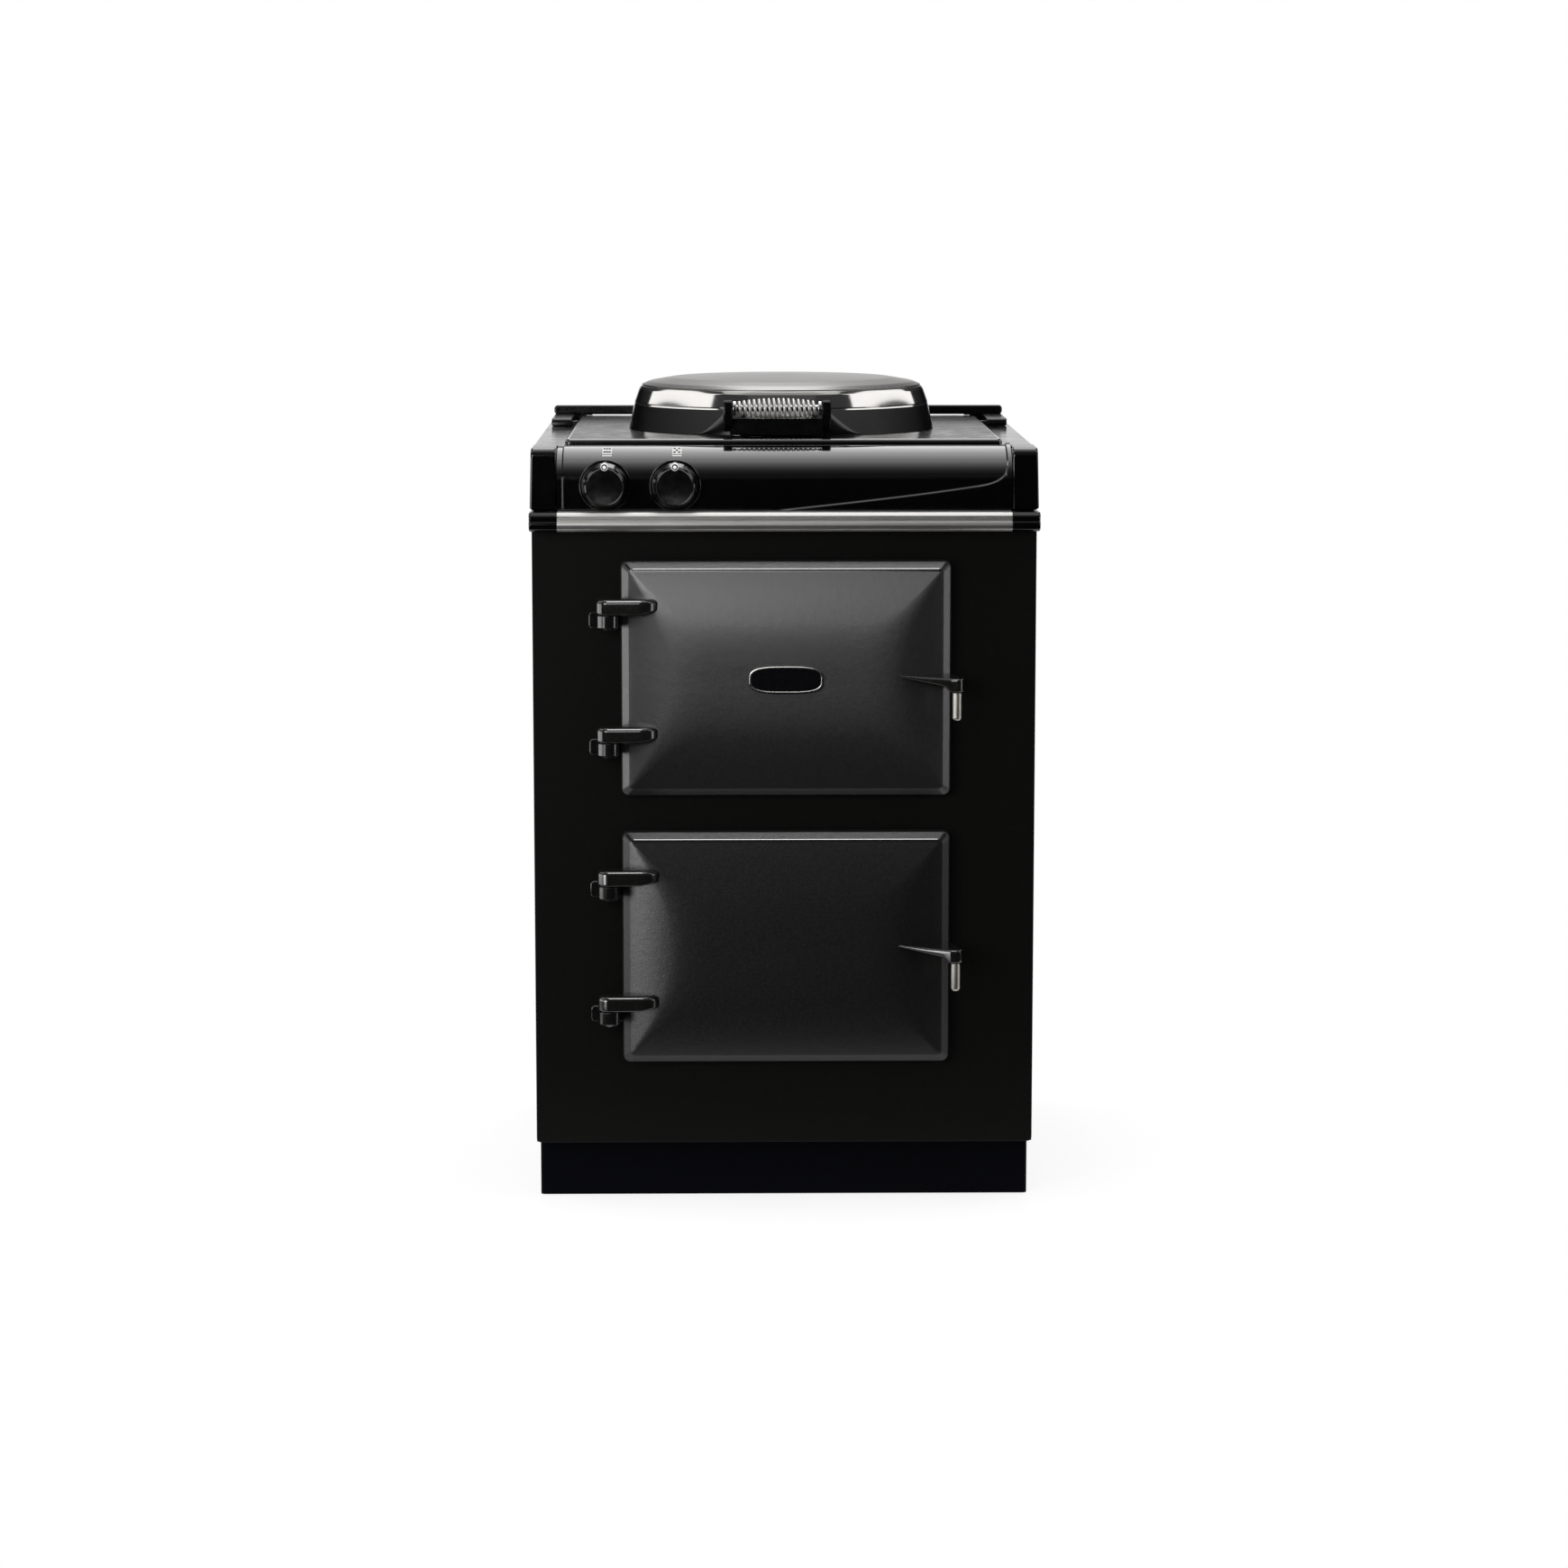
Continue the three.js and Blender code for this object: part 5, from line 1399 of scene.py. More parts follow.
    def grip(self) -> None:
        """The nickel-plated post under the arm's end."""
        x, y, z = extent(f"{self.side}_door_grip")
        r, length = self.grip_radius, self.grip_length
        corners = [(0, 0), (0.62 * r, 0.2), (r, 2.6), (r, length - 0.8), (r - 0.8, length)]
        profile = fillet([*corners, (0, length)], [0, 3, 3, 0.6, 0.6, 0])
        centre = (sum(x) / 2, sum(y) / 2, z[0])
        made = turned(f"{self.side}_grip_post", profile, "nickel", centre, segments=48)
        dress(made, self.body, [f"{self.side}_door_grip"])

    def seal(self) -> None:
        """The rope seal round the oven's mouth, laid from twisted strands."""
        x, y, z = extent(f"{self.side}_seal")
        spans = [(low + self.seal_edge, high - self.seal_edge) for low, high in (x, z)]
        path = rounded_rectangle(*spans, self.seal_corner, 10)
        mesh = bmesh.new()
        verts = [mesh.verts.new((u * MM, sum(y) / 2 * MM, v * MM)) for u, v in path]
        for a, b in zip(verts, verts[1:] + verts[:1]):
            mesh.edges.new((a, b))
        made = RECIPES["strands"].make(
            f"{self.side}_seal_rope",
            mesh,
            "rope",
            180.0,
            strands=3,
            twists=110.0,
            lay=2.1 * MM,
            strand=self.strand_share * (y[1] - y[0]) * MM,
            steps=1100,
        )
        dress(made, "cooker", [f"{self.side}_seal"])


@dataclass
class Badge:
    """The blank badge plate on the upper door: a black field in a polished rim."""

    centre: Flat = (1.7, 640.1)
    back: float = -304.5
    width: float = 88.0
    height: float = 33.0
    thickness: float = 3.0
    rim: float = 3.0
    squareness: float = 3.3

    def outline(self, inset_by: float, y: float) -> Loop:
        """The plate's outline.

        Args:
            inset_by: how much smaller it is all round.
            y: its depth in the object's frame.

        Returns:
            The closed loop.
        """
        a, b = self.width / 2 - inset_by, self.height / 2 - inset_by
        power = 2 / self.squareness

        def bowed(way: float, reach: float) -> float:
            """A coordinate of the bowed outline where a circle's would be way."""
            return reach * math.copysign(abs(way) ** power, way)

        return [
            (self.centre[0] + bowed(u, a), y, self.centre[1] + bowed(v, b))
            for u, v in circle((0.0, 0.0), 1.0, 96)
        ]

    def build(self) -> None:
        """Makes the plate with its rounded rim and sunken field."""
        front = self.back - self.thickness
        steps = [(0.0, self.back), (0.0, front + 1.0), (0.3, front + 0.3), (1.0, front)]
        steps += [(self.rim - 0.7, front), (self.rim - 0.2, front + 0.25), (self.rim, front + 0.8)]
        plate = outward(skin([self.outline(*step) for step in steps]))

        def is_field(middle: Vector) -> bool:
            """Whether a face is the large one in front."""
            return middle.y < self.back - 1 and math.dist((middle.x, middle.z), self.centre) < 1

        made = piece("badge_plate_blank", painted(plate, 1, is_field), ["badge_rim", "badge_field"])
        dress(made, "upper_oven_door", ["badge_plate"])


# ---- fascia, rail and controls


@dataclass
class Fascia:
    """The bullnosed control fascia with its raised field, knob bosses, symbols and end cheeks."""

    half: float = 268.7
    bottom: float = 838.0
    top: float = 910.0
    front: float = 8.0
    back: float = 52.0
    nose: float = 38.0
    wall: float = 3.0
    field_raise: float = 1.6
    field_inset: float = 6.3
    field_edge: float = 1.3
    sweep_from: float = -22.0
    sweep_rise: float = 30.0
    turn_rise: float = 52.0
    apron: float = 2.0
    apron_step: float = 2.4
    apron_from: Flat = (-160.0, -80.0)
    boss_radius: float = 30.5
    boss_raise: float = 3.0
    symbol_shift: float = 2.0
    symbol_half: float = 5.6
    symbol_height: float = 20.0
    symbol_start: float = 20.5
    symbol_line: Flat = (2.2, 4.6)
    dot_half: Flat = (1.25, 1.9)
    dot_spread: Flat = (0.55, 0.3)
    cheek_gap: float = 0.6
    cheek_outer: float = 299.0
    cheek_flare: float = 1.7
    cheek_edge: float = 2.5
    cheek_round: float = 11.0

    def section(self, s: float, out: float) -> Flat:
        """A point of the nose's cross-section.

        Args:
            s: 0 at the top edge, 1 where the nose ends, 2 at the foot of the upright face.
            out: how far it is offset outwards.

        Returns:
            Its (y, z) in the object's frame.
        """
        if s > 1:
            z = self.top - self.nose
            return (FRONT_FACE - self.front - out, z - (s - 1) * (z - self.bottom))
        angle = math.pi / 2 * s
        deep, high = self.back + self.front + out, self.nose + out
        y = self.back - deep * math.sin(angle)
        return (FRONT_FACE + y, self.top - self.nose + high * math.cos(angle))

    @cached_property
    def sweep(self) -> tuple[list[float], list[float]]:
        """The field's lower edge: a shallow rise to the right that turns up at its end.

        Returns:
            Places across, and the edge's height over the fascia's foot at each.
        """
        right = self.half - self.field_inset
        end = right - self.sweep_rise
        run = end - self.sweep_from
        t = np.linspace(0, 1, 60)
        weights = [(1 - t) ** 3, 3 * t * (1 - t) ** 2, 3 * t * t * (1 - t), t**3]
        across = [self.sweep_from, self.sweep_from + 0.32 * run, self.sweep_from + 0.68 * run, end]
        rise = [-1.0, 0.27 * self.sweep_rise, 0.57 * self.sweep_rise, self.sweep_rise]
        slope = zip(*(sum(w * c for w, c in zip(weights, curve)) for curve in (across, rise)))
        turn = bend(
            (end, self.sweep_rise), (right, self.sweep_rise + 5), (right, self.turn_rise), 60
        )
        xs, zs = zip(*slope, *turn)
        return list(xs), list(zs)

    def sweep_z(self, x: float) -> float:
        """Height of the field's lower edge over x."""
        if x < self.sweep_from:
            return self.bottom - 1
        return self.bottom + float(np.interp(x, *self.sweep))

    def inside(self, x: float, z: float) -> float:
        """How far a point lies inside the raised field.

        Args:
            x: its place across.
            z: its height.

        Returns:
            The distance in millimetres, below 0 outside the field.
        """
        edge = self.half - self.field_inset
        slope = (self.sweep_z(x + 1) - self.sweep_z(x - 1)) / 2 if abs(x) < self.half else 0
        below = (z - self.sweep_z(min(x, edge))) / math.hypot(1, slope)
        return min(x + edge, edge - x, below)

    def columns(self) -> list[float]:
        """Where the skin's columns lie along X.

        Returns:
            Their places, close together at the field's edges.
        """
        edge = self.half - self.field_inset
        parts = [
            np.linspace(-self.half, -edge - 2, 4),
            np.linspace(-edge - 1.6, -edge + 2, 12),
            np.linspace(-edge + 4, edge - 34, 150),
            np.linspace(edge - 32, edge - 2, 40),
            np.linspace(edge - 1.6, edge + 1.6, 12),
            np.linspace(edge + 2, self.half, 4),
        ]
        return [float(v) for v in np.concatenate(parts)]

    def shell(self) -> Mesh:
        """The fascia's skin with the raised field as a soft-edged step, closed at its back.

        Returns:
            The skin; the step that faces up under the sweep has index 3.
        """
        rows = [*np.linspace(0, 1, 80), *np.linspace(1.02, 2, 44)]
        start, end = self.apron_from
        loops: list[Loop] = []
        for x in self.columns():
            right = limited((x - start) / (end - start))
            loop: Loop = []
            for s in rows:
                within = self.inside(x, self.section(s, 0)[1])
                field = self.field_raise * eased(within / self.field_edge)
                apron = self.field_raise + self.apron * eased(-within / self.apron_step)
                loop.append((x, *self.section(s, field * (1 - right) + apron * right)))
            for s in (2.0, 1.6, 1.0, 0.75, 0.5, 0.25, 0.0):
                loop.append((x, *self.section(s, -self.wall)))
            loops.append(loop)

        def on_step(middle: Vector) -> bool:
            """Whether a face lies on the apron's step."""
            step = -self.apron_step < self.inside(middle.x, middle.z) < 0
            return middle.x > end and middle.y < FRONT_FACE and step

        return painted(outward(skin(loops)), 3, on_step)

    def boss(self, x: float) -> Mesh:
        """The raised pad behind a knob.

        Args:
            x: the knob's place.

        Returns:
            A disc that comes out of the nose, cut off level at the fascia's foot.
        """
        ring = circle((x, KNOB_Z), self.boss_radius, 72)
        ring = [(u, max(v, self.bottom + 0.2)) for u, v in ring]
        front = FRONT_FACE - self.front - self.boss_raise
        return prism(ring, (front, FRONT_FACE + 12), Axis.ALONG_Y, (1.0, 0.0))

    def cheek(self, way: int) -> Mesh:
        """One end cheek: a block a little proud of the nose, flared outwards to its foot.

        Args:
            way: -1 for the left one, 1 for the right one.

        Returns:
            The cheek, closed.
        """
        foot = FRONT_FACE - self.front - self.field_raise
        back, high, low = FRONT_FACE + self.back, self.top + self.field_raise, self.bottom + 1
        corners = [(back, high), (foot + 1.2, high - 0.8), (foot, low), (back, low)]
        outline = fillet(corners, [0, self.cheek_round, 0, 0], 14)
        inner = self.half + self.cheek_gap
        span = mirrored(inner, self.cheek_outer, way)
        mesh = prism(outline, span, Axis.ALONG_X, self.cheek_edge, 5)
        middle = (inner + self.cheek_outer) / 2
        for vert in mesh.verts:
            fall = (self.top - vert.co.z / MM) / (self.top - self.bottom)
            if abs(vert.co.x) / MM > middle:
                vert.co.x += way * self.cheek_flare * fall * MM
            vert.co.y = min(vert.co.y, back * MM)
        return outward(mesh)

    def mark(self, x: float, spots: Sequence[tuple[Flat, Flat]], raised_by: float) -> Mesh:
        """A printed mark on the nose.

        Args:
            x: the mark's middle.
            spots: rectangles (across range, along range), along measured over the nose.
            raised_by: how far it stands off the field.

        Returns:
            Thin patches that follow the nose.
        """
        out = self.field_raise + raised_by
        lines = np.array([self.section(s, out) for s in np.linspace(0, 1, 200)])
        along = np.concatenate([[0], np.cumsum(np.linalg.norm(np.diff(lines, axis=0), axis=1))])
        patches = []
        for across, over in spots:
            rows = []
            for v in np.linspace(*over, 5):
                place = [float(np.interp(v, along, lines[:, i])) for i in (0, 1)]
                rows.append([(x + u, *place) for u in np.linspace(*across, 3)])
            patches.append(skin(rows, closed=False, caps=False))
        mesh = joined(*patches)
        for face in mesh.faces:
            face.normal_update()
            if face.normal.z < 0:
                face.normal_flip()
        return mesh

    def symbol(self, x: float, dots: Sequence[Flat]) -> Mesh:
        """An oven symbol with dark marks on it and a line under it.

        It is drawn long over the nose, so that it looks square from in front.

        Args:
            x: its middle.
            dots: the dark marks' middles, in parts of the square from its centre.

        Returns:
            White patches (index 1) and dark ones (index 2).
        """
        half, high, start = self.symbol_half, self.symbol_height, self.symbol_start
        line = tuple(start + high + v for v in self.symbol_line)
        white = [((-half, half), (start, start + high)), ((-half, half), line)]
        dark = []
        for u, v in dots:
            across = u * self.dot_spread[0] * half
            over = start + high / 2 + v * self.dot_spread[1] * high
            wide, long = self.dot_half
            dark.append(((across - wide, across + wide), (over - long, over + long)))
        lower = painted(self.mark(x, white, DECAL_LIFT), 1)
        return joined(lower, painted(self.mark(x, dark, 2 * DECAL_LIFT), 2))

    def build(self) -> None:
        """Makes the fascia, its bosses and symbols, and both cheeks."""
        grid = [(u, v) for u in (-1, 0, 1) for v in (-0.8, 0.8)]
        cross = [(0, 0), (-0.9, -0.9), (0.9, 0.9), (-0.9, 0.9), (0.9, -0.9)]
        symbols = [self.symbol(x + self.symbol_shift, d) for x, d in zip(KNOB_X, (grid, cross))]
        mesh = joined(self.shell(), *[self.boss(x) for x in KNOB_X], *symbols)
        finishes = ["fascia_enamel", "white_ink", "black_ink", "bead_enamel"]
        dress(piece("fascia_enamelled", mesh, finishes, 50.0), "cooker", ["fascia"])
        for way, side in ((-1, "left"), (1, "right")):
            cheek = piece(f"cheek_{side}_enamelled", self.cheek(way), ["fascia_enamel"], 50.0)
            dress(cheek, "cooker", [f"cheek_{side}"])


def mirrored(near: float, far: float, way: int) -> Flat:
    """A range along X that starts near the middle, on the right side or mirrored to the left.

    Args:
        near: its end near the middle.
        far: its other end.
        way: -1 for the left side, 1 for the right one.

    Returns:
        The range, low end first.
    """
    return (near, far) if way > 0 else (-far, -near)


@dataclass
class FrontRail:
    """The brushed steel rail under the fascia, with its two black end caps."""

    half: float = 267.5
    cap_end: float = 300.7
    top: float = 837.4
    height: float = 23.0
    groove: float = 0.36
    forward: float = 38.0
    clearance: float = 0.3
    cap_edges: Flat = (0.4, 2.4)

    def section(self) -> list[Flat]:
        """Its cross-section: a rolled upper band, a groove, and a rounded lower band.

        Returns:
            The closed outline.
        """
        front, back = FRONT_FACE - self.forward, FRONT_FACE - self.clearance
        line, low = self.top - self.groove * self.height, self.top - self.height
        corners = [
            (back, self.top),
            (front + 5.2, self.top),
            (front, self.top - 5.0),
            (front + 3.0, line + 0.5),
            (front + 3.6, line - 0.5),
            (front + 0.4, line - 3.6),
            (front, line - 7.0),
            (front + 1.4, low + 3.0),
            (front + 6.0, low),
            (back, low),
        ]
        return fillet(corners, [0, 5.0, 4.6, 0.4, 0.4, 3.0, 5.0, 4.0, 3.0, 0], 7)

    def build(self) -> None:
        """Makes the rail and its caps."""
        section = self.section()
        rail = prism(section, (-self.half, self.half), Axis.ALONG_X)
        made = piece("front_rail_brushed", rail, ["brushed_steel"], 50.0)
        dress(made, "cooker", ["front_rail"])
        for way, side in ((-1, "left"), (1, "right")):
            span = mirrored(self.half + self.clearance, self.cap_end, way)
            cap = prism(section, span, Axis.ALONG_X, self.cap_edges[::way])
            made = piece(f"rail_cap_{side}_moulded", cap, ["black_plastic"], 50.0)
            dress(made, "cooker", [f"rail_cap_{side}"])


@dataclass
class Control:
    """One control knob with its pointer mark, spindle and thermostat."""

    side: str
    x: float
    back: float = -274.8
    depth: float = 21.2
    face_radius: float = 22.5
    skirt_radius: float = 27.5
    skirt: float = 2.4
    mark_radius: float = 3.6
    mark_width: float = 1.5
    nub_radius: float = 4.3
    nub_depth: float = 21.6

    def build(self) -> None:
        """Makes the knob and its mark, and finishes what is behind it."""
        r, d, skirt = self.face_radius, self.depth, self.skirt_radius
        corners = [(0, 0), (skirt, 0), (skirt, self.skirt), (r + 3.1, 9.6), (r + 1.3, d - 2.9)]
        corners += [(r - 0.6, d - 0.7), (r - 1.6, d - 0.9), (0.55 * r, d - 0.5), (0, d)]
        profile = fillet(corners, [0, 0.3, 1.2, 3, 1.6, 0.5, 1.0, 20, 0])
        centre, name = (self.x, self.back, KNOB_Z), f"knob_{self.side}_moulded"
        knob = turned(name, profile, "black_plastic", centre, Axis.ALONG_Y, 128, 40.0)
        knob.data.materials.append(FINISHES["white_ink"])
        extended(knob, 40.0, self.pointer())
        dress(knob, f"{self.side}_control", [f"knob_{self.side}"])
        refinish(f"spindle_{self.side}", "zinc")
        refinish(f"thermostat_{self.side}", "galvanised")

    def pointer(self) -> Mesh:
        """The nub at the knob's edge that points at the setting, with a white ring on its end.

        Returns:
            The nub (index 0) and the ring (index 1).
        """
        centre = (self.x, KNOB_Z + self.skirt_radius - self.nub_radius)
        front, r, width = self.back - self.nub_depth, self.mark_radius, self.mark_width
        span = (front, self.back - 2.0)
        nub = prism(circle(centre, self.nub_radius, 40), span, Axis.ALONG_Y, (0.7, 0.0))
        domed = [(r - width, 0.0), (r - width / 2, -0.35), (r, 0.0), (r - width, 0.0)]
        rows = [
            [Axis.ALONG_Y.place(p, front + out) for p in circle(centre, radius, 40)]
            for radius, out in domed
        ]
        return joined(nub, painted(outward(skin(rows, caps=False)), 1))


# ---- hob


@dataclass
class Hob:
    """The enamelled top casting, the raised plate on it, the hotplate and its cover ring."""

    plate_half: float = 261.0
    plate_y: Flat = (-206.5, 307.5)
    plate_bottom: float = 910.3
    plate_top: float = 917.7
    plate_corner: float = 6.0
    plate_edge: float = 4.6
    point_pitch: float = 12.0
    well: float = 172.0
    well_edge: float = 0.8
    hotplate_radius: float = 165.0
    hotplate_bottom: float = 874.7
    hotplate_top: float = 920.7

    def plate(self) -> Mesh:
        """The raised plate with the round well in it, closed.

        Returns:
            The plate; its rim has index 1.
        """
        half, low, high = self.plate_half, self.plate_bottom, self.plate_top
        outer = rounded_rectangle((-half, half), self.plate_y, self.plate_corner, 10)
        dense: list[Flat] = []
        for a, b in zip(outer, outer[1:] + outer[:1]):
            count = max(int(math.dist(a, b) / self.point_pitch), 1)
            dense += [tuple(Vector(a).lerp(Vector(b), i / count)) for i in range(count)]
        middle = Vector((0, LID_AXIS_Y))

        def well(radius: float, z: float) -> Loop:
            """The well's loop, point for point with the outer one."""
            ways = [(Vector(p) - middle).normalized() * radius + middle for p in dense]
            return [(w.x, w.y, z) for w in ways]

        def rim(step: float, z: float) -> Loop:
            """The plate's outline, inset by step."""
            return [(x, y, z) for x, y in inset(dense, step)]

        loops = [rim(0, low)]
        for angle in np.linspace(0, math.pi / 2, 6):
            drop = self.plate_edge * (1 - math.sin(angle))
            loops.append(rim(self.plate_edge * (1 - math.cos(angle)), high - drop))
        loops += [well(self.well + self.well_edge, high), well(self.well, high - self.well_edge)]
        loops += [well(self.well, low), rim(0, low)]
        made = outward(skin(loops, caps=False))
        return painted(made, 1, lambda face: low + 0.1 < face.z < high - 0.02)

    def build(self) -> None:
        """Makes the hob's pieces."""
        dress_node("top_surround", "frame_enamel", 1.8)
        finishes = ["hob_enamel", "bead_enamel"]
        plate = piece("centre_plate_enamelled", self.plate(), finishes, 50.0)
        dress(plate, "cooker", ["centre_plate"])
        r, low, high = self.hotplate_radius, self.hotplate_bottom, self.hotplate_top
        corners = [(0, low), (r - 6, low), (r - 6, high - 12), (r, high - 8), (r, high)]
        corners += [(r - 1.4, high), (0, high)]
        profile = fillet(corners, [0, 1, 2, 1, 0.9, 0.5, 0], 4)
        centre = (0.0, LID_AXIS_Y, 0.0)
        hotplate = turned("hotplate_machined", profile, "cast_iron", centre)
        dress(hotplate, "cooker", ["hotplate"])
        dress_node("hotplate_ring", "spun_steel", 0.3, 40.0)
        refinish("hotplate_element", "galvanised")


@dataclass
class GuardRail:
    """The guard rail along the rear of the hob, on its two feet."""

    edge: float = 2.4
    corner: float = 4.6
    bottom: float = 919.0
    pad: float = 250.0
    pad_half: float = 6.0
    pad_rear: float = 306.3
    pad_z: Flat = (918.0, 922.0)
    web: Flat = (252.0, 272.0)
    web_front: float = 309.0
    web_z: Flat = (910.2, 921.0)

    def build(self) -> None:
        """Makes the rail and both feet."""
        x, y, z = extent("guard_rail")
        face = rounded_rectangle(x, (self.bottom, z[1]), self.corner, 8)
        parts = [prism(face, y, Axis.ALONG_Y, self.edge)]
        for middle in (-self.pad, self.pad):
            across = (middle - self.pad_half, middle + self.pad_half)
            pad = rounded_rectangle(across, (y[0] + 1, self.pad_rear), 1, 3)
            parts.append(prism(pad, self.pad_z, Axis.ALONG_Z))
        for way in (-1, 1):
            web = rounded_rectangle(mirrored(*self.web, way), self.web_z, 0.6, 3)
            parts.append(prism(web, (self.web_front, y[1] - 1.5), Axis.ALONG_Y, 0.5))
        rail = piece("guard_rail_painted", joined(*parts), ["black_paint"], 50.0)
        dress(rail, "cooker", ["guard_rail"])
        for side in ("left", "right"):
            dress_node(f"guard_foot_{side}", "black_paint", 0.8)


# ---- lid


@dataclass
class Lid:
    """The domed steel lid with its liner, hinge and handle bracket.

    The wall is its side as (height, radius), for what lies on it.
    """

    base: float = 917.7
    sheet: float = 1.5
    gusset_height: float = 36.0
    gusset_foot: float = 2.6
    gusset_base: float = 1.4
    gussets: tuple[Flat, ...] = ((-64.0, -103.0), (49.0, 96.0))
    wall: tuple[Flat, ...] = ((0.6, 189.5), (30.6, 183.0), (33.4, 182.6), (49.6, 176.6))

    def profile(self) -> list[Flat]:
        """The lid's closed wall, from the crown's pole outside round to the pole inside.

        Returns:
            Its points (radius, height).
        """
        outer = [(0, 67.5), (136.4, 63.3), (163.5, 58.7), (173.0, 54.9), (173.3, 53.4)]
        outer += [(174.8, 52.7), (177.0, 49.2), (182.6, 33.4), (182.2, 32.2), (183.0, 30.6)]
        outer.append((189.5, 0.6))
        side = fillet(outer, [0, 60, 30, 0.4, 0.3, 1.0, 5.0, 1.0, 0.4, 1.0, 0], 8)
        inner = [(max(r - self.sheet, 0), max(z - self.sheet, 0.6)) for r, z in side]
        return [(r, self.base + z) for r, z in [*side, *reversed(inner)]]

    def build(self) -> None:
        """Makes the lid's pieces."""
        centre = (0.0, LID_AXIS_Y, 0.0)
        cover = turned("lid_cover_polished", self.profile(), "lid_steel", centre, segments=180)
        dress(cover, "lid", ["lid_cover"])
        dress_node("lid_liner", "spun_steel", 0.0, 40.0, "lid")
        for node, body in (("lid_hinge_arm", "lid"), ("lid_hinge_base", "cooker")):
            dress_node(node, "black_paint", 0.9, 40.0, body)
        bracket = softened("lid_handle_bracket", "black_paint", 1.3, 40.0)
        extended(bracket, 40.0, *[self.gusset(*ends) for ends in self.gussets])
        dress(bracket, "lid", ["lid_handle_bracket"])

    def gusset(self, near: float, far: float) -> Mesh:
        """A web of the handle's bracket that runs out over the lid's side.

        Args:
            near: x where it leaves the post.
            far: x where it runs out at the lid's foot.

        Returns:
            The web, closed.
        """
        foot, base = self.gusset_foot, self.gusset_base
        loops: list[Loop] = []
        for t in np.linspace(0, 1, 24):
            x = near + (far - near) * t
            top = foot + (self.gusset_height - foot) * (1 - t) ** 1.5
            thick = 0.5 + 2.6 * (1 - t) ** 1.2
            outer, inner = [], []
            for u in np.linspace(0, 1, 10):
                z = base + (top - base) * u
                wall = float(np.interp(z, *zip(*self.wall)))
                out = 0.3 + thick * math.sin(math.pi * min(u * 0.9 + 0.1, 1) ** 0.8) ** 0.5
                for row, radius in ((outer, wall + out), (inner, wall + 0.15)):
                    y = LID_AXIS_Y - math.sqrt(radius**2 - x**2)
                    row.append((x, y, self.base + z))
            loops.append(outer + inner[::-1])
        return outward(skin(loops))


@dataclass
class LidHandle:
    """The lid's rod with its collars, and the coiled wire grip wound round it."""

    middle: Point = (-7.5, -185.5, 953.0)
    rod_radius: float = 4.0
    collar_radius: float = 8.5
    collar: float = 4.0
    length: float = 106.2
    turns: float = 16.0
    end_radius: float = 6.8
    middle_radius: float = 10.8
    wire: float = 1.6
    steps: int = 640

    def build(self) -> None:
        """Makes the rod and the coil."""
        r, c, end = self.rod_radius, self.collar_radius, self.length
        corners = [(0, 0), (c, 0), (c, self.collar), (r, self.collar), (r, end - self.collar)]
        corners += [(c, end - self.collar), (c, end), (0, end)]
        profile = fillet(corners, [0, 0.8, 1.0, 0.6, 0.6, 1.0, 0.8, 0], 4)
        start = (self.middle[0] - end / 2, *self.middle[1:])
        rod = turned("lid_rod", profile, "polished", start, Axis.ALONG_X, 48)
        dress(rod, "lid", ["lid_handle_rod"])
        coil = RECIPES["coil"].make(
            "lid_coil_grip",
            None,
            "wire",
            80.0,
            turns=self.turns,
            reach=(end / 2 - self.collar - self.wire - 0.4) * MM,
            end_radius=self.end_radius * MM,
            middle_radius=self.middle_radius * MM,
            wire=self.wire * MM,
            middle=[c * MM for c in self.middle],
            steps=self.steps,
        )
        dress(coil, "lid", ["lid_handle_coil"])


# ---- ovens


@dataclass
class Ovens:
    """Both oven boxes with their elements and wire shelves."""

    def build(self) -> None:
        """Smooths the boxes and shelves, and finishes the elements."""
        for side in ("upper", "lower"):
            dress_node(f"{side}_oven", "oven_enamel", sharp=40.0)
            dress_node(f"{side}_shelf", "nickel")
            refinish(f"{side}_element", "galvanised")


# ---- studio


@dataclass(frozen=True)
class Softbox:
    """One soft lamp: its middle, the point it faces, its size, and how bright its face is.

    A radiance of 1 is white. The lamp lights only the pieces named in only, or all but those in
    never. Where through is set, nothing but those pieces shades it.
    """

    name: str
    place: Point
    aim: Point
    size: Flat
    radiance: float
    only: tuple[str, ...] = ()
    never: tuple[str, ...] = ()
    through: bool = False

    def hang(self) -> None:
        """Adds the lamp to the scene."""
        data = bpy.data.lights.new(self.name, "AREA")
        data.shape = "RECTANGLE"
        data.size, data.size_y = self.size[0] * MM, self.size[1] * MM
        data.energy = self.radiance * math.pi * data.size * data.size_y
        made = bpy.data.objects.new(self.name, data)
        made.location = Vector(self.place) * MM
        way = Vector(self.aim) - Vector(self.place)
        made.rotation_euler = way.to_track_quat("-Z", "Y").to_euler()
        made.visible_camera = False
        bpy.context.scene.collection.objects.link(made)
        if self.only or self.never:
            group = bpy.data.collections.new(f"{self.name} receivers")
            for lit in self.only or self.never:
                group.objects.link(bpy.data.objects[lit])
            for member in group.collection_objects:
                member.light_linking.link_state = "INCLUDE" if self.only else "EXCLUDE"
            made.light_linking.receiver_collection = group
            if self.through:
                made.light_linking.blocker_collection = group


# The pieces that some lamps are kept to or kept from.
LID = ("lid_cover_polished",)
UPPER, LOWER = ("upper_door_casting",), ("lower_door_casting",)
HINGES = tuple(f"{s}_hinge_{e}_finished" for s in ("upper", "lower") for e in ("top", "bottom"))
KNOBS = ("knob_left_moulded", "knob_right_moulded")

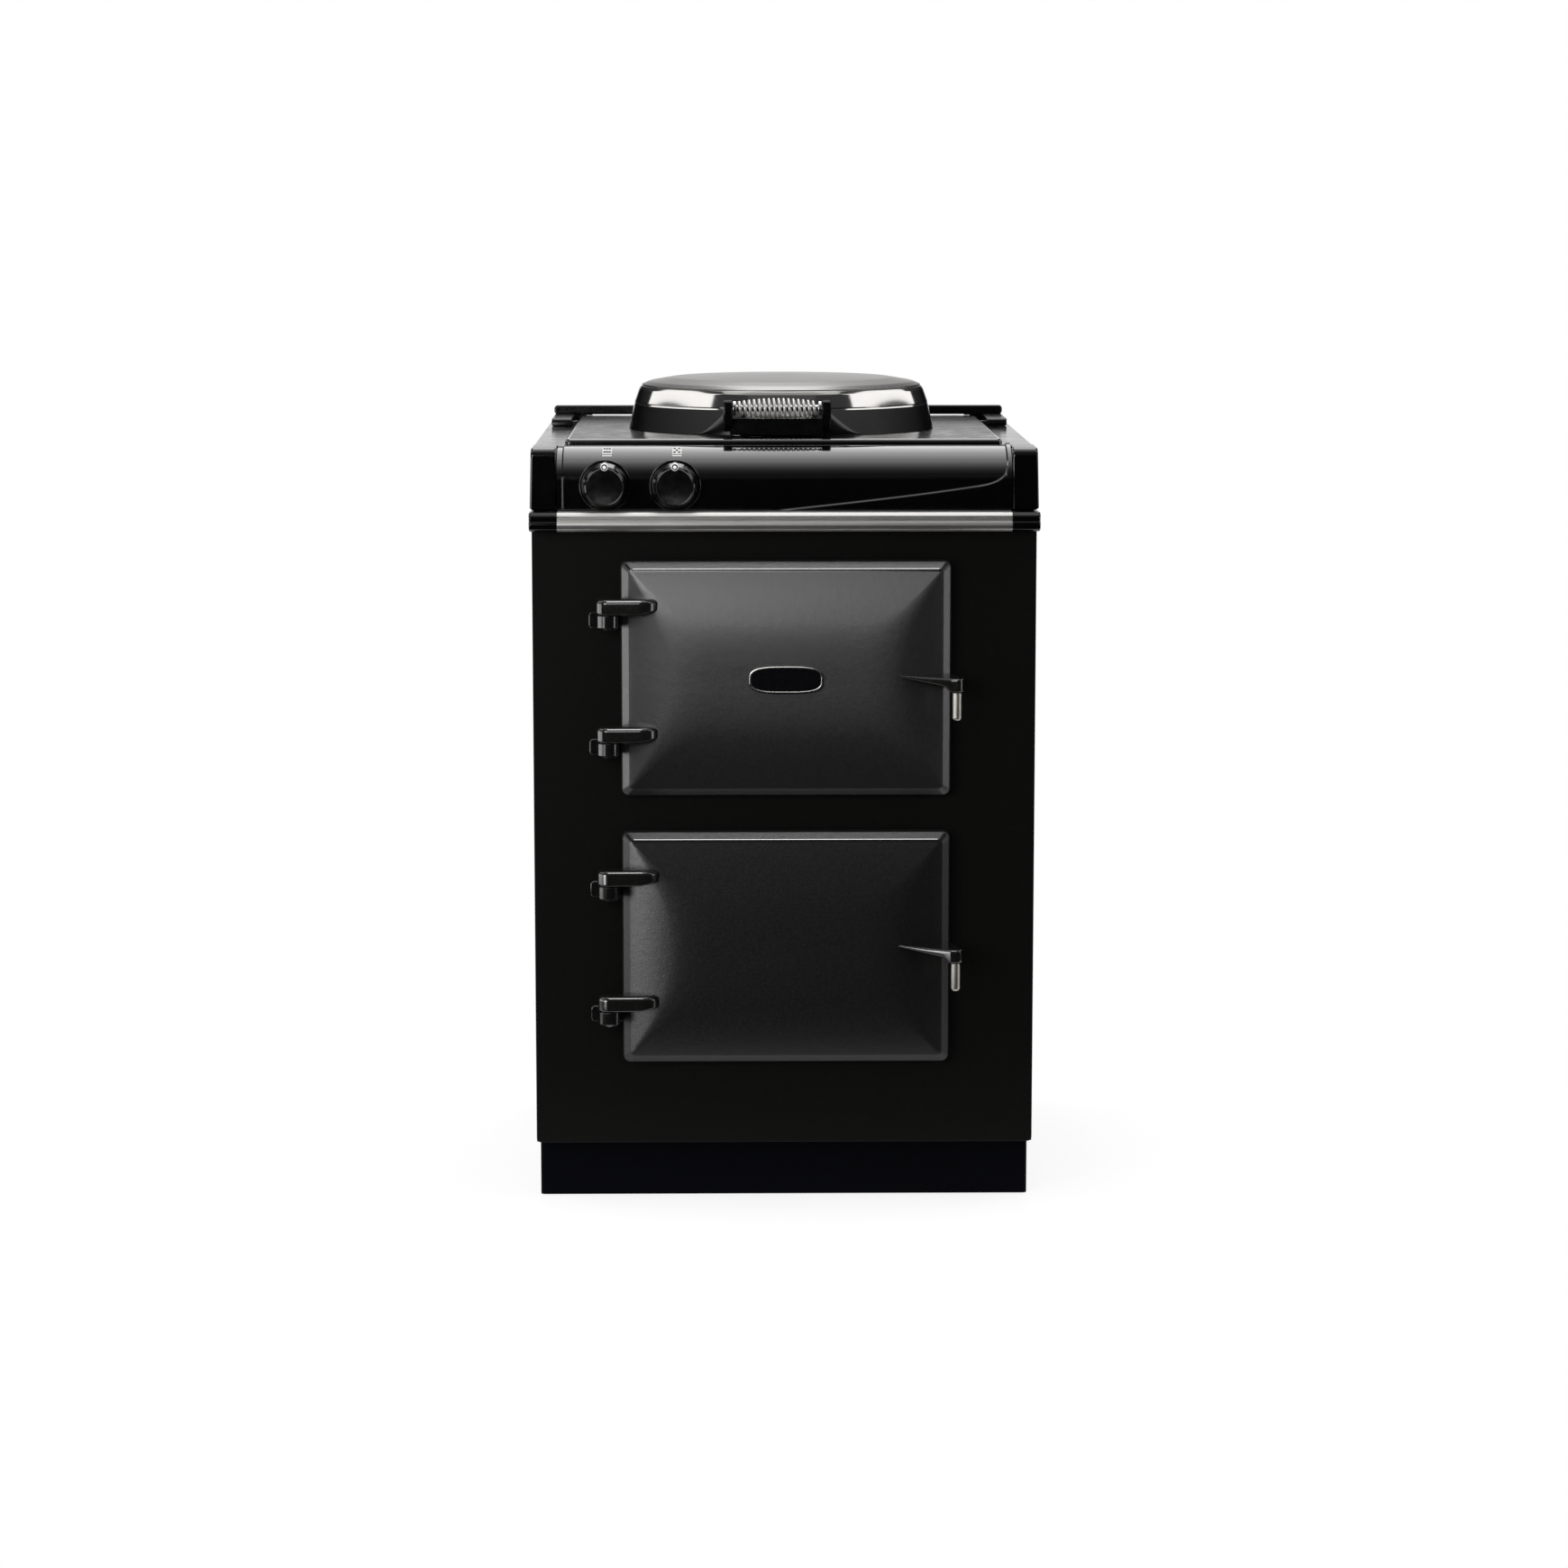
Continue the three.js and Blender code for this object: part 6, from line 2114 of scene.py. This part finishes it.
# fmt: off
LAMPS = (
    # The sheen on the lid's crown, and the white patches round its side.
    Softbox("lid softbox", (0, 2200, 2600), (0, 2200, 0), (700, 2400), 0.8, LID),
    Softbox("side softbox -1", (-2700, 1000, 2500), (0, 2250, 2500), (4500, 1300), 1.7),
    Softbox("side softbox 1", (2700, 1000, 2500), (0, 2250, 2500), (4500, 1300), 1.7),
    # The key comes from the left. The lower door has its own, lower down.
    Softbox("key softbox", (-1270, -3000, 1480), (0, -300, 640), (1500, 900), 4.0, never=LOWER),
    Softbox("low softbox", (-1750, -2000, 420), (0, -300, 320), (900, 1100), 8.5, LOWER),
    # A soft sheen over the upper door's crown.
    Softbox("door softbox", (-800, -2900, 1600), (0, -300, 640), (2100, 1400), 2.6,
            (*UPPER, "badge_plate_blank")),
    # The lines along the doors' top creases, and the shine on lugs, arms and rims.
    Softbox("crease strip", (0, -1500, 2900), (0, -290, 700), (800, 700), 12.0, UPPER + LOWER),
    Softbox("rim softbox", (0, 100, 2600), (0, 100, 0), (2400, 3400), 0.8,
            UPPER + LOWER + HINGES, through=True),
    Softbox("edge softbox", (-2300, 250, 700), (0, 250, 700), (3500, 1500), 1.0,
            UPPER + LOWER + HINGES, through=True),
    # The pale lower half of each knob's face.
    Softbox("knob card", (-170, -2000, 300), (-170, -300, 867), (2400, 420), 4.0, KNOBS),
    # Left sides of castings and cheeks, and a thin line at their right.
    Softbox("left low strip", (-1600, -2000, 700), (0, -300, 640), (800, 1100), 3.0, never=UPPER),
    Softbox("left wall", (-2300, -150, 450), (0, -150, 450), (2700, 850), 2.0),
    Softbox("right low strip", (2100, -600, 750), (0, -100, 750), (500, 1100), 3.0),
)
# fmt: on


@dataclass
class Studio:
    """White floor and backdrop, soft lamps, and the camera at the photograph's angle."""

    camera_place: Point = (-69.15, -5168.6, 1221.9)
    pitch: float = 0.1441
    yaw: float = 0.0140
    lens: float = 95.36
    floor_y: Flat = (-450.0, 1500.0)
    floor_half: float = 1500.0
    floor_drop: float = 0.5
    shade_reach: Flat = (0.7, 1.3)  # metres over which the floor's shading fades out
    room_rise: Flat = (0.08, 0.36)  # parts of a direction, as the next three: the room lightens
    backdrop_rise: Flat = (0.07, 0.12)  # the mirrored backdrop dims upwards
    backdrop_side: Flat = (0.1, 0.26)  # and ends at both sides
    backdrop_front: Flat = (0.1, 0.4)  # and in front of the cooker
    backdrop_glow: float = 0.4
    overhead_height: float = 2600.0
    overhead_edges: tuple[float, ...] = (
        -2600, -1900, -1500, -1150, -850, -550, -330, 100, 500, 1000, 1800, 3600
    )  # fmt: skip
    overhead_strips: tuple[Flat, ...] = (
        (2400, 0.05), (2400, 0.12), (2400, 0.24), (2400, 0.45), (2400, 0.75), (2000, 1.1),
        (1700, 1.5), (1500, 1.75), (1400, 1.9), (1350, 2.1), (1350, 2.2),
    )  # fmt: skip
    behind_lid: float = 1000.0

    def camera(self) -> None:
        """Puts the camera where the photograph was taken from."""
        data = bpy.data.cameras.new("camera")
        data.lens = self.lens
        data.sensor_width = 36.0
        data.clip_end = 50.0
        made = bpy.data.objects.new("camera", data)
        made.location = Vector(self.camera_place) * MM
        made.rotation_euler = (math.pi / 2 - self.pitch, 0.0, -self.yaw)
        bpy.context.scene.collection.objects.link(made)
        bpy.context.scene.camera = made

    def floor(self) -> None:
        """Lays the pale floor, which shows white but keeps the cooker's shadow."""
        x, (front, back) = self.floor_half, self.floor_y
        corners = [(-x, front), (x, front), (x, back), (-x, back)]
        mesh = bmesh.new()
        height = -self.floor_drop * MM
        mesh.faces.new([mesh.verts.new((u * MM, v * MM, height)) for u, v in corners])
        made = piece("studio_floor", mesh, [])
        made.data.materials.append(self.floor_material())

    def floor_material(self) -> bpy.types.Material:
        """White to the eye and in reflections, less where the cooker shades it.

        Returns:
            The node material.
        """
        made = bpy.data.materials.new("white paper sweep")
        nodes = Nodes(made)
        seen = nodes.seen()
        where = nodes.add("ShaderNodeTexCoord")["Object"]
        colour = nodes.mix(nodes.noise(where, 3.0), "e6e6e6", "efefef")
        paper = nodes.shade("BsdfDiffuse", {"Color": colour})
        flat = nodes.shade("Mapping", {0: where, 3: (1.0, 2.4, 0.0)})
        spot, reach = nodes.length(flat), self.shade_reach
        level = nodes.ramp(spot, *reach, 1.17, 1.0)
        glow = nodes.shade("Emission", {"Color": linear("ffffff"), "Strength": level})
        share = nodes.calc("MULTIPLY", seen, nodes.ramp(spot, *reach, 0.7, 1.0))
        mixed = nodes.shade("MixShader", {0: share, 1: paper, 2: glow})
        nodes.add("ShaderNodeOutputMaterial", {0: mixed})
        return made

    def world(self) -> None:
        """A dim room round a white backdrop: white to the eye, and in metal where it is behind."""
        made = bpy.data.worlds.new("studio")
        nodes = Nodes(made)
        way = nodes.add("ShaderNodeTexCoord")["Generated"]
        x, y, z = nodes.add("ShaderNodeSeparateXYZ", {0: way})
        room = nodes.mix(nodes.ramp(z, *self.room_rise), "0e0e10", "444446")
        middle = nodes.ramp(nodes.calc("ABSOLUTE", x), *self.backdrop_side, 1.0, 0.0)
        backdrop = nodes.ramp(z, *self.backdrop_rise, 1.0, self.backdrop_glow)
        white = nodes.calc("MULTIPLY", backdrop, nodes.ramp(y, *self.backdrop_front))
        white = nodes.calc("MULTIPLY", white, middle)
        glossy = nodes.add("ShaderNodeLightPath")["Is Glossy Ray"]
        dim = nodes.mix(glossy, "b0b0b2", room)
        colour = nodes.mix(nodes.seen(white), dim, "ffffff")
        back = nodes.shade("Background", {"Color": colour, "Strength": 1.0})
        nodes.add("ShaderNodeOutputWorld", {0: back})
        bpy.context.scene.world = made

    def overhead(self) -> list[Softbox]:
        """Strips overhead that grow brighter from front to back.

        Returns:
            The lamps; those far behind leave the lid's crown alone.
        """
        lamps = []
        edges = self.overhead_edges
        for near, far, (width, radiance) in zip(edges, edges[1:], self.overhead_strips):
            name, y = f"overhead {near}", (near + far) / 2
            place, aim, size = (0.0, y, self.overhead_height), (0.0, y, 0.0), (width, far - near)
            never = LID if near >= self.behind_lid else ()
            lamps.append(Softbox(name, place, aim, size, radiance, never=never))
        return lamps

    def build(self) -> None:
        """Sets up the stage, its light and the camera."""
        bpy.context.scene.view_settings.view_transform = "Standard"
        self.camera()
        self.floor()
        self.world()
        for lamp in (*self.overhead(), *LAMPS):
            lamp.hang()


# ---- making it


def main() -> None:
    """Builds the cooker piece by piece over its frame, then the studio round it."""
    logging.basicConfig(level=logging.INFO, format="%(message)s", stream=sys.stdout)
    FRAME.update(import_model())
    RECIPES.update(turned=turning_recipe(), coil=coil_recipe())
    RECIPES.update(strands=strand_recipe(), rows=row_recipe())
    FINISHES.update({name: finish.build() for name, finish in FINISH_TABLE.items()})
    assemblies = [
        Cabinet(),
        BackPanel(),
        Ovens(),
        OvenDoor("upper", "door_enamel", 638.6),
        OvenDoor("lower", "dull_enamel", 315.4),
        Badge(),
        Fascia(),
        FrontRail(),
        Control("left", KNOB_X[0]),
        Control("right", KNOB_X[1]),
        Hob(),
        GuardRail(),
        Lid(),
        LidHandle(),
        Studio(),
    ]
    for assembly in assemblies:
        assembly.build()
        LOG.info("%s done", type(assembly).__name__)


if __name__ == "__main__":
    main()
